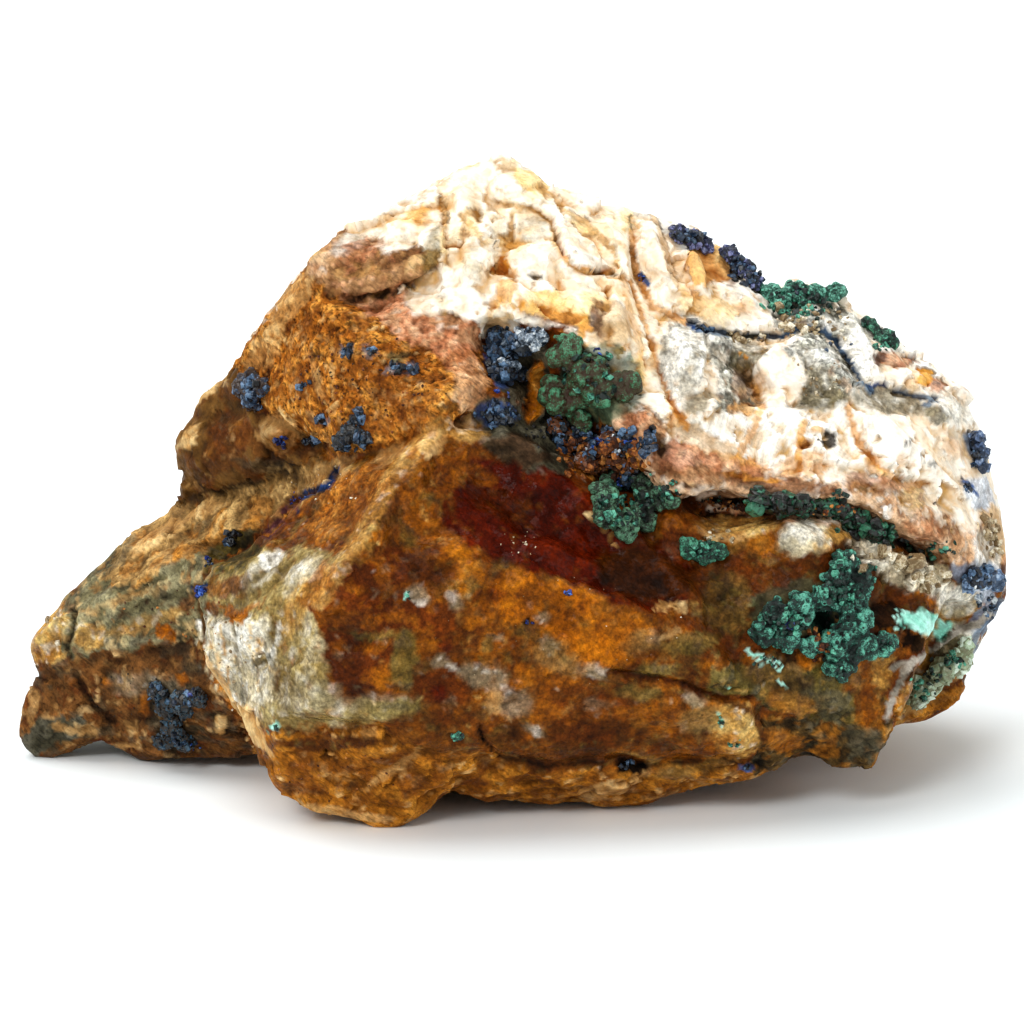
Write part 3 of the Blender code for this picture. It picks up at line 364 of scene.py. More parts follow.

# Round patches: finish, across, down, half width, half height, turn in degrees, edge softness in mm, cover.
# The near black patches are painted shade in pockets and holes, under the pink lump and the left shoulder, and beneath
# the fin.
PATCHES = [
    # the peak and the creamy slabs
    ("tan", 506, 162, 12, 5, 0, 0.4, 0.7), ("honey", 532, 180, 20, 10, 40, 0.8, 0.8),
    ("tan", 545, 190, 16, 5, 50, 0.4, 0.6), ("honey", 415, 215, 18, 9, -30, 0.8, 0.8),
    ("honey", 585, 226, 14, 5, 30, 0.6, 0.7), ("honey", 515, 240, 20, 5, 10, 0.6, 0.6),
    ("honey", 626, 215, 6, 16, 0, 0.5, 0.7), ("honey", 590, 300, 16, 12, 0, 0.8, 0.7),
    ("honey", 640, 366, 6, 16, 0, 0.5, 0.7), ("feldspar_white", 482, 173, 16, 12, -20, 0.6, 0.9),
    ("gold", 424, 213, 11, 8, -30, 0.5, 0.5), ("feldspar_white", 405, 235, 22, 12, -25, 0.6, 0.8),
    ("feldspar_white", 362, 233, 26, 8, -15, 0.5, 0.7), ("tan", 420, 262, 18, 8, -10, 0.6, 0.5),
    ("quartz_white", 350, 244, 20, 5, -20, 0.6, 0.45), ("quartz_olive", 433, 252, 9, 26, 10, 0.5, 0.6),
    ("tan", 470, 222, 9, 17, 20, 0.4, 0.7), ("quartz_grey", 500, 224, 10, 13, 0, 0.4, 0.3),
    ("quartz_grey", 534, 226, 16, 14, 0, 0.4, 0.35), ("quartz_grey", 474, 264, 10, 19, 5, 0.3, 0.3),
    ("feldspar_white", 532, 268, 26, 26, 20, 0.5, 1.0), ("feldspar_white", 475, 300, 20, 15, -30, 0.5, 1.0),
    ("feldspar_white", 440, 290, 34, 20, -30, 0.8, 0.9), ("gold", 501, 261, 7, 12, 20, 0.25, 1.0),
    ("gold", 513, 270, 9, 6, 30, 0.4, 0.7), ("gold", 505, 290, 8, 16, 25, 0.6, 0.75),
    ("hollow_shade", 535, 275, 6, 4, 20, 0.3, 0.8), ("feldspar_white", 583, 254, 27, 9, 20, 0.3, 1.0),
    ("feldspar_white", 650, 232, 16, 26, 0, 0.7, 1.0), ("feldspar_white", 545, 205, 22, 6, 10, 0.4, 0.8),
    ("feldspar_white", 620, 362, 17, 6, 5, 0.3, 1.0), ("tan", 612, 322, 18, 26, 0, 0.6, 0.6),
    ("gold", 619, 349, 9, 5, -20, 0.3, 0.8),
    # orange margins over the middle pocket
    ("honey", 555, 300, 36, 9, 14, 0.8, 0.8), ("gold", 550, 310, 40, 7, 14, 0.5, 0.95),
    ("rust", 552, 318, 34, 3, 14, 0.3, 0.7), ("gold", 583, 326, 7, 13, 0, 0.3, 0.9),
    ("rust", 595, 316, 5, 20, -8, 0.3, 0.8), ("tan", 500, 318, 14, 7, -20, 0.4, 0.8),
    # the right of the cap: peak, quartz, brown stain, cream crystal
    ("gold", 708, 262, 24, 22, 30, 0.7, 0.9), ("tan", 722, 256, 8, 20, -15, 0.5, 0.6),
    ("rust", 728, 272, 5, 16, -25, 0.4, 0.6), ("honey", 705, 305, 34, 14, 15, 0.8, 0.6),
    ("gold", 690, 290, 14, 8, 20, 0.4, 0.6), ("gold", 745, 302, 11, 11, 0, 0.5, 0.5),
    ("feldspar_white", 745, 320, 20, 9, 5, 0.3, 0.9), ("quartz_white", 682, 352, 24, 42, 10, 0.6, 1.0),
    ("quartz_white", 710, 335, 22, 14, 10, 0.6, 0.8), ("quartz_grey", 690, 368, 9, 24, 15, 0.7, 0.45),
    ("quartz_spark", 812, 318, 42, 20, 5, 0.5, 0.95), ("quartz_white", 808, 305, 8, 6, 0, 0.3, 1.0),
    ("quartz_white", 826, 321, 8, 7, 0, 0.3, 1.0), ("quartz_spark", 735, 352, 30, 20, 10, 0.6, 0.7),
    ("quartz_spark", 815, 372, 42, 34, 10, 0.6, 0.95), ("quartz_white", 800, 356, 22, 10, 10, 0.5, 0.5),
    ("quartz_white", 822, 352, 14, 9, 0, 0.5, 0.6), ("quartz_olive", 826, 396, 27, 13, 5, 0.5, 0.75),
    ("quartz_grey", 804, 384, 30, 24, 0, 0.8, 0.75), ("quartz_spark", 738, 382, 24, 32, 15, 0.6, 0.9),
    ("feldspar_brown", 742, 376, 14, 18, 15, 0.6, 0.6), ("quartz_olive", 745, 360, 18, 12, 0, 0.5, 0.6),
    ("hollow_shade", 738, 379, 8, 5, 10, 0.4, 0.4), ("gold", 741, 355, 5, 3, 0, 0.2, 0.9),
    ("gold", 741, 407, 15, 11, 15, 0.5, 0.6), ("feldspar_white", 778, 375, 26, 27, 0, 0.4, 1.0),
    ("gold", 757, 383, 6, 18, 10, 0.4, 0.45), ("quartz_white", 855, 343, 14, 36, -22, 0.3, 0.9),
    ("quartz_olive", 697, 396, 14, 10, -35, 0.5, 0.7), ("quartz_grey", 888, 398, 34, 14, 10, 0.5, 0.85),
    ("quartz_olive", 935, 411, 13, 9, 0, 0.4, 0.8), ("feldspar_white", 897, 373, 21, 9, 8, 0.3, 1.0),
    ("rust", 879, 354, 7, 8, 20, 0.2, 0.9), ("red_pink", 895, 359, 12, 6, 15, 0.3, 0.9),
    ("gold", 921, 375, 9, 7, 10, 0.2, 1.0), ("red_pink", 935, 385, 9, 6, 30, 0.3, 0.8),
    ("tan", 908, 382, 7, 4, 0, 0.3, 0.7), ("quartz_white", 950, 405, 20, 8, 35, 0.4, 0.7),
    # the fibrous sheaves and the white lump
    ("feldspar_sheaf", 705, 436, 48, 26, -18, 0.6, 1.0), ("feldspar_sheaf", 775, 432, 42, 30, -15, 0.6, 1.0),
    ("feldspar_sheaf", 850, 430, 26, 30, 0, 0.7, 0.8), ("gold", 673, 415, 10, 12, 20, 0.3, 0.75),
    ("feldspar_white", 893, 434, 33, 24, 5, 0.5, 1.0), ("gold", 720, 456, 40, 8, 14, 0.7, 0.55),
    ("tan", 700, 438, 36, 14, 20, 0.8, 0.6), ("quartz_grey", 690, 425, 16, 9, 0, 0.7, 0.35),
    ("gold", 800, 462, 26, 10, 0, 0.6, 0.6), ("gold", 872, 460, 6, 22, -35, 0.35, 0.6),
    ("gold", 949, 446, 12, 10, 0, 0.4, 0.45), ("gold", 905, 481, 28, 4, 0, 0.3, 0.6),
    ("quartz_yellow", 912, 494, 18, 11, 0, 0.5, 0.8), ("feldspar_white", 945, 490, 22, 22, 0, 0.6, 0.9),
    ("red_pink", 870, 478, 26, 9, 10, 0.5, 0.7), ("hollow_shade", 860, 487, 6, 3, 0, 0.2, 0.9),
    ("red_pink", 632, 420, 17, 12, 30, 0.5, 0.9), ("red_pink", 690, 458, 36, 15, 15, 0.6, 0.9),
    ("red_pink", 735, 470, 24, 10, 10, 0.5, 0.7), ("feldspar_brown", 705, 474, 44, 9, 9, 0.6, 0.7),
    ("rust", 656, 456, 10, 18, -30, 0.5, 0.6), ("rust", 790, 483, 62, 6, 3, 0.4, 0.6),
    ("feldspar_brown", 868, 484, 32, 7, 14, 0.5, 0.6), ("hollow_shade", 690, 483, 24, 3, 6, 0.3, 0.5),
    ("hollow_shade", 760, 486, 26, 2, 3, 0.3, 0.6), ("feldspar_white", 700, 490, 10, 6, 0, 0.3, 0.4),
    ("hollow_shade", 802, 441, 6, 7, 0, 0.2, 0.75), ("gold", 801, 441, 7, 7, 0, 0.2, 0.7),
    ("hollow_shade", 825, 435, 6, 9, 10, 0.25, 0.9), ("gold", 815, 428, 6, 4, 0, 0.3, 0.7),
    ("hollow_shade", 906, 440, 2, 2, 0, 0.1, 0.8), ("hollow_shade", 931, 462, 4, 3, 0, 0.2, 0.6),
    # the right end
    ("red_pink", 925, 528, 20, 12, 20, 0.6, 0.6), ("feldspar_white", 962, 508, 14, 22, -5, 0.5, 0.9),
    ("tan", 990, 530, 14, 30, -10, 0.5, 0.75), ("feldspar_cream", 988, 446, 8, 26, -10, 0.4, 0.9),
    ("blue_pale", 976, 490, 14, 17, 0, 0.5, 0.8), ("blue_grey", 973, 570, 25, 14, 10, 0.4, 0.75),
    ("blue_pale", 970, 590, 19, 11, 10, 0.4, 0.9), ("quartz_yellow", 955, 606, 22, 13, -15, 0.4, 0.6),
    ("quartz_crystal", 870, 548, 26, 14, 20, 0.4, 1.0), ("quartz_crystal", 900, 568, 26, 18, 30, 0.4, 1.0),
    ("quartz_crystal", 930, 575, 18, 20, 0, 0.3, 1.0), ("quartz_plate", 936, 568, 12, 12, 0, 0.2, 0.8),
    ("quartz_yellow", 898, 556, 12, 7, 30, 0.4, 0.5), ("quartz_plate", 928, 585, 8, 6, 0, 0.2, 0.8),
    # The dark brown streak over the pocket in this row is painted shade.
    ("orange", 922, 594, 14, 6, 15, 0.4, 0.9), ("amber_dark", 895, 590, 30, 8, 15, 0.4, 0.8),
    ("quartz_plate", 957, 598, 22, 16, -15, 0.5, 0.9), ("blue_grey", 981, 614, 7, 20, 35, 0.3, 0.8),
    ("blue_pale", 972, 648, 4, 26, 5, 0.2, 0.8), ("quartz_white", 985, 548, 12, 26, -10, 0.6, 0.8),
    ("blue_pale", 984, 572, 14, 14, 0, 0.5, 0.7), ("quartz_plate", 955, 640, 22, 20, -20, 0.6, 0.9),
    # under the seam
    ("rust", 722, 504, 32, 9, 3, 0.3, 1.0), ("hollow_shade", 724, 498, 28, 5, 2, 0.3, 0.9),
    ("red_pink", 735, 508, 14, 3, 3, 0.2, 0.8), ("tan", 724, 527, 26, 13, 5, 0.5, 0.75),
    ("orange", 762, 540, 18, 11, 0, 0.5, 0.7), ("quartz_yellow", 735, 522, 40, 10, 2, 0.5, 0.9),
    ("quartz_plate", 803, 535, 26, 18, 0, 0.5, 1.0), ("quartz_white", 806, 530, 14, 10, 0, 0.8, 0.6),
    ("quartz_yellow", 836, 530, 14, 10, 0, 0.4, 0.8), ("amber", 690, 520, 26, 12, 15, 0.6, 0.6),
    # the brown pocket at the lower right: the dark brown arch round it and its near black holes are painted shade
    ("rust", 770, 575, 36, 15, -5, 0.8, 0.5), ("amber_dark", 800, 585, 40, 22, -5, 0.9, 0.6),
    ("hollow_shade", 820, 617, 13, 17, 10, 0.3, 1.0), ("hollow_shade", 884, 612, 24, 13, 10, 0.5, 0.95),
    ("hollow_shade", 780, 655, 30, 8, 12, 0.6, 0.7), ("hollow_shade", 908, 640, 10, 10, 0, 0.3, 0.95),
    ("orange", 838, 620, 6, 10, 0, 0.25, 0.7), ("orange", 806, 655, 10, 12, 30, 0.25, 0.85),
    ("tan", 796, 666, 10, 4, 30, 0.3, 0.6), ("orange", 790, 697, 28, 12, 15, 0.5, 0.5),
    ("slate", 830, 698, 20, 14, 20, 0.5, 0.6), ("quartz_yellow", 882, 665, 12, 20, 10, 0.4, 0.85),
    ("orange", 868, 712, 12, 14, 0, 0.6, 0.4), ("slate", 862, 738, 20, 14, 0, 0.5, 0.7),
    ("orange", 780, 735, 22, 9, 15, 0.5, 0.6), ("rust", 891, 682, 7, 14, 15, 0.2, 0.9),
    ("hollow_shade", 876, 697, 3, 3, 0, 0.2, 0.6), ("quartz_yellow", 733, 725, 27, 26, 0, 0.5, 0.85),
    ("orange", 722, 740, 18, 12, 0, 0.7, 0.5),
    # the granular face
    ("tan", 292, 300, 12, 34, 35, 0.9, 0.55), ("tan", 268, 345, 14, 26, 35, 0.9, 0.45),
    ("tan", 318, 372, 5, 26, -10, 0.4, 0.4), ("hollow_shade", 322, 351, 6, 4, 20, 0.3, 0.7),
    ("rust", 390, 385, 50, 18, 40, 1.2, 0.35), ("rust", 375, 420, 22, 12, 0, 0.8, 0.5),
    ("rust", 298, 375, 10, 20, 0, 0.8, 0.4), ("red_pink", 460, 355, 22, 14, 30, 0.6, 0.7),
    ("feldspar_pink", 470, 385, 18, 26, 10, 0.8, 0.6), ("hollow_shade", 447, 404, 8, 4, 0, 0.4, 0.6),
    ("red_pink", 360, 248, 28, 10, -20, 0.5, 0.6), ("feldspar_pink", 320, 262, 8, 14, 30, 0.4, 0.6),
    ("hollow_shade", 388, 290, 32, 2, -12, 0.2, 0.8),
    # the left shoulder
    ("tan", 210, 388, 24, 5, -40, 0.35, 0.75), ("tan", 192, 432, 12, 4, -75, 0.35, 0.7),
    ("tan", 186, 442, 10, 3, -10, 0.3, 0.6), ("tan", 280, 430, 20, 20, 0, 0.35, 0.6),
    ("amber", 283, 440, 17, 13, 0, 0.4, 0.6), ("rust", 230, 430, 24, 22, 0, 1.0, 0.4),
    ("goethite", 220, 470, 42, 9, -14, 0.5, 0.8), ("hollow_shade", 232, 484, 42, 3, -14, 0.3, 0.7),
    ("slate", 262, 462, 34, 6, 10, 0.4, 0.4), ("orange", 330, 450, 9, 7, 20, 0.4, 0.6),
    # the tail
    ("tan", 160, 533, 34, 7, -38, 0.6, 0.7), ("tan", 208, 505, 22, 7, -15, 0.5, 0.6),
    ("rust", 172, 556, 22, 8, -25, 0.6, 0.3), ("ochre", 190, 548, 18, 8, -25, 0.6, 0.6),
    ("slate", 120, 555, 26, 6, -45, 0.5, 0.5), ("slate", 205, 523, 9, 6, -20, 0.3, 0.5),
    ("quartz_olive", 238, 548, 34, 17, -28, 0.5, 1.0), ("hollow_shade", 245, 545, 24, 10, -28, 0.6, 0.6),
    ("tan", 130, 593, 34, 3, -18, 0.4, 0.4), ("quartz_yellow", 150, 618, 40, 6, -18, 0.6, 0.5),
    ("quartz_yellow", 92, 632, 16, 14, 10, 0.5, 0.7), ("rust", 189, 600, 9, 8, 0, 0.4, 0.7),
    ("orange", 169, 630, 12, 8, 35, 0.3, 1.0), ("red_brown", 120, 655, 46, 10, -8, 0.6, 0.6),
    ("orange", 109, 677, 5, 6, 0, 0.25, 0.8), ("orange", 147, 700, 6, 13, -10, 0.25, 0.8),
    ("orange", 184, 676, 7, 5, 0, 0.25, 0.8), ("quartz_grey", 140, 680, 30, 12, 0, 0.9, 0.35),
    ("tan", 80, 725, 22, 5, 15, 0.4, 0.6), ("tan", 36, 700, 5, 20, 0, 0.4, 0.5),
    ("quartz_grey", 60, 622, 4, 20, 10, 0.2, 0.4), ("hollow_shade", 232, 728, 30, 3, 0, 0.4, 0.5),
    ("tan", 222, 718, 8, 8, 0, 0.15, 0.85), ("tan", 128, 743, 14, 4, 0, 0.4, 0.5),
    # the quartz plates and the ridge
    ("rust", 232, 582, 24, 9, -25, 0.5, 0.8), ("orange", 238, 609, 13, 6, 10, 0.25, 0.9),
    ("rust", 216, 604, 6, 6, 0, 0.25, 0.8), ("quartz_grey", 262, 572, 22, 10, -30, 0.6, 0.5),
    ("quartz_plate", 308, 570, 24, 11, -30, 0.7, 0.9), ("rust", 290, 604, 16, 3, -25, 0.3, 0.8),
    ("slate", 264, 656, 4, 8, 20, 0.3, 0.8), ("quartz_white", 272, 556, 14, 8, -30, 0.4, 0.8),
    ("quartz_white", 240, 628, 24, 10, 0, 0.6, 0.6), ("tan", 254, 722, 12, 24, -28, 0.4, 0.9),
    ("quartz_grey", 310, 690, 34, 18, 0, 1.0, 0.45), ("quartz_grey", 372, 697, 40, 8, 0, 0.6, 0.4),
    ("quartz_olive", 396, 704, 32, 9, 2, 0.6, 0.7), ("orange", 318, 585, 10, 30, 32, 0.5, 0.7),
    ("quartz_yellow", 300, 605, 12, 30, 25, 0.6, 0.5), ("limonite", 352, 500, 46, 26, -42, 1.4, 0.6),
    ("tan", 395, 450, 20, 10, -40, 0.9, 0.5),
    # the rusty squares and the mottled amber
    ("orange", 385, 672, 14, 10, -20, 0.5, 0.7), ("quartz_olive", 372, 632, 20, 4, 5, 0.3, 0.7),
    ("quartz_olive", 404, 655, 13, 30, 0, 0.5, 0.8), ("rust", 428, 615, 30, 20, 5, 0.5, 0.9),
    ("rust", 440, 683, 27, 20, 0, 0.5, 0.9), ("maroon", 437, 690, 8, 10, 0, 0.4, 0.8),
    ("maroon", 446, 646, 7, 6, 0, 0.4, 0.7), ("quartz_grey", 444, 660, 16, 6, 10, 0.5, 0.6),
    ("amber_dark", 330, 738, 60, 7, 0, 0.4, 0.95), ("amber_dark", 440, 728, 52, 20, 8, 0.8, 0.8),
    ("rust", 300, 784, 26, 6, 5, 0.6, 0.7), ("rust", 415, 780, 14, 11, -30, 0.6, 0.7),
    ("rust", 350, 760, 60, 5, -5, 0.7, 0.5), ("tan", 392, 768, 26, 4, -35, 0.5, 0.5),
    ("tan", 345, 808, 50, 3, 8, 0.3, 0.5), ("quartz_grey", 418, 590, 10, 12, -30, 0.4, 0.6),
    ("quartz_grey", 455, 596, 8, 12, -15, 0.4, 0.5), ("orange", 470, 560, 30, 8, 50, 0.6, 0.6),
    ("amber_dark", 430, 570, 26, 16, 30, 0.8, 0.6), ("amber_dark", 350, 520, 26, 14, -40, 1.0, 0.4),
    ("tan", 330, 470, 30, 10, -35, 0.8, 0.4), ("tan", 432, 440, 10, 18, 30, 0.5, 0.7),
    ("quartz_yellow", 470, 430, 22, 10, 10, 0.6, 0.6), ("slate", 518, 444, 28, 14, 5, 0.4, 1.0),
    ("umber", 520, 446, 34, 16, 8, 0.6, 0.6), ("hollow_shade", 532, 444, 30, 14, 15, 0.9, 0.4),
    ("amber", 475, 470, 20, 10, 20, 0.6, 0.7), ("tan", 588, 512, 7, 5, 20, 0.2, 0.9),
    ("tan", 606, 523, 4, 4, 0, 0.2, 0.9), ("tan", 613, 535, 4, 6, 20, 0.2, 0.9),
    ("umber", 642, 570, 48, 26, 12, 1.2, 0.8), ("umber", 500, 500, 40, 14, 30, 1.2, 0.4),
    ("hollow_shade", 635, 575, 30, 14, 10, 1.2, 0.35), ("orange", 594, 645, 28, 19, 10, 0.7, 0.9),
    ("maroon", 496, 590, 10, 8, 0, 0.6, 0.6), ("quartz_grey", 545, 612, 8, 7, 0, 0.6, 0.6),
    ("quartz_grey", 548, 641, 9, 9, 0, 0.7, 0.55), ("quartz_olive", 530, 625, 14, 8, 0, 0.5, 0.5),
    ("quartz_grey", 496, 632, 10, 3, 0, 0.3, 0.6), ("quartz_grey", 484, 672, 26, 13, 20, 0.9, 0.6),
    ("quartz_grey", 515, 698, 18, 12, 0, 0.9, 0.5), ("tan", 492, 698, 10, 11, 30, 0.9, 0.5),
    ("orange", 522, 672, 11, 12, 0, 0.4, 0.6), ("tan", 668, 600, 16, 4, -20, 0.25, 0.7),
    ("tan", 681, 602, 4, 8, 10, 0.2, 0.6), ("tan", 671, 629, 9, 5, -10, 0.3, 0.6),
    ("quartz_olive", 655, 665, 26, 7, -10, 0.4, 0.8), ("quartz_olive", 690, 640, 30, 10, -12, 0.7, 0.6),
    ("quartz_plate", 597, 667, 13, 6, 5, 0.5, 0.45), ("quartz_plate", 591, 701, 7, 8, 0, 0.5, 0.4),
    ("quartz_olive", 638, 688, 20, 9, 0, 0.6, 0.7), ("quartz_plate", 694, 695, 12, 6, 5, 0.5, 0.5),
    ("rust", 590, 700, 56, 16, 8, 1.5, 0.6), ("rust", 560, 725, 40, 14, 0, 1.2, 0.5),
    ("orange", 660, 715, 30, 18, 0, 1.2, 0.4), ("quartz_honey", 700, 715, 22, 14, 0, 1.0, 0.5),
    ("quartz_honey", 555, 650, 30, 16, 20, 1.2, 0.35), ("quartz_honey", 640, 640, 20, 10, -20, 1.0, 0.4),
    ("amber_dark", 592, 730, 50, 15, 0, 0.8, 0.9), ("quartz_grey", 535, 722, 10, 5, 20, 0.3, 0.6),
    ("hollow_shade", 626, 759, 15, 7, 5, 0.25, 1.0), ("hollow_shade", 529, 618, 6, 3, -25, 0.2, 0.95),
    ("amber_dark", 560, 752, 60, 9, 0, 0.5, 0.8), ("quartz_olive", 725, 600, 26, 30, 0, 1.2, 0.45),
    ("tan", 603, 785, 26, 7, -10, 0.5, 0.6), ("quartz_olive", 690, 765, 36, 8, -8, 0.6, 0.5),
    ("blue", 746, 762, 7, 4, 0, 0.2, 0.9),
    # blue and green stains
    ("blue_grey", 347, 347, 9, 8, 0, 0.3, 0.6), ("blue_grey", 372, 348, 7, 7, 0, 0.3, 0.5),
    ("blue_grey", 397, 364, 8, 6, 0, 0.3, 0.6), ("blue_grey", 414, 366, 6, 6, 0, 0.3, 0.7),
    ("blue_grey", 324, 417, 7, 5, 0, 0.3, 0.6), ("green", 400, 355, 8, 5, 0, 0.4, 0.5),
    ("slate", 520, 365, 30, 34, 0, 0.5, 0.9), ("blue", 500, 362, 14, 24, 0, 0.8, 0.7),
    ("slate", 500, 412, 28, 18, 0, 0.5, 0.9), ("blue", 496, 410, 20, 12, 0, 0.9, 0.7),
    ("slate", 560, 430, 36, 20, 20, 0.6, 0.9), ("limonite", 600, 455, 42, 22, 25, 0.6, 1.0),
    ("blue_grey", 598, 440, 20, 8, 20, 0.6, 0.4), ("green", 600, 380, 44, 40, 0, 0.5, 0.6),
    ("orange", 535, 390, 10, 30, 5, 0.25, 1.0), ("gold", 537, 380, 5, 14, 5, 0.3, 0.7),
    ("hollow_shade", 655, 440, 6, 12, -20, 0.3, 0.7), ("slate", 177, 693, 26, 16, 0, 0.5, 0.7),
    ("slate", 180, 732, 24, 12, 0, 0.5, 0.6), ("blue", 203, 586, 6, 6, 0, 0.25, 0.9),
    ("green", 810, 605, 60, 30, 0, 0.8, 0.35), ("quartz_olive", 940, 650, 28, 14, -25, 0.5, 0.3),
    ("turquoise", 924, 620, 27, 12, 12, 0.25, 1.0), ("turquoise", 277, 722, 4, 3, 0, 0.15, 1.0),
    ("turquoise", 409, 592, 3, 6, 25, 0.15, 0.9), ("turquoise", 881, 642, 16, 8, -35, 0.4, 0.6),
    ("ochre", 925, 705, 36, 8, -14, 0.3, 0.9), ("tan", 922, 702, 34, 2, -14, 0.15, 0.9),
    ("grey_green", 948, 645, 20, 18, 0, 0.6, 0.6), ("quartz_yellow", 912, 684, 11, 22, 25, 0.5, 0.7),
    ("ochre", 945, 692, 26, 10, -14, 0.4, 0.8), ("tan", 942, 672, 20, 8, -20, 0.5, 0.6),
    ("quartz_white", 948, 592, 20, 12, 20, 0.6, 0.5), ("umber", 775, 672, 38, 13, 12, 0.7, 0.6),
    ("hollow_shade", 802, 690, 30, 9, 15, 0.8, 0.45), ("rust", 945, 684, 14, 3, -10, 0.3, 0.8),
    ("hollow_shade", 905, 672, 8, 4, -50, 0.3, 0.7),
]

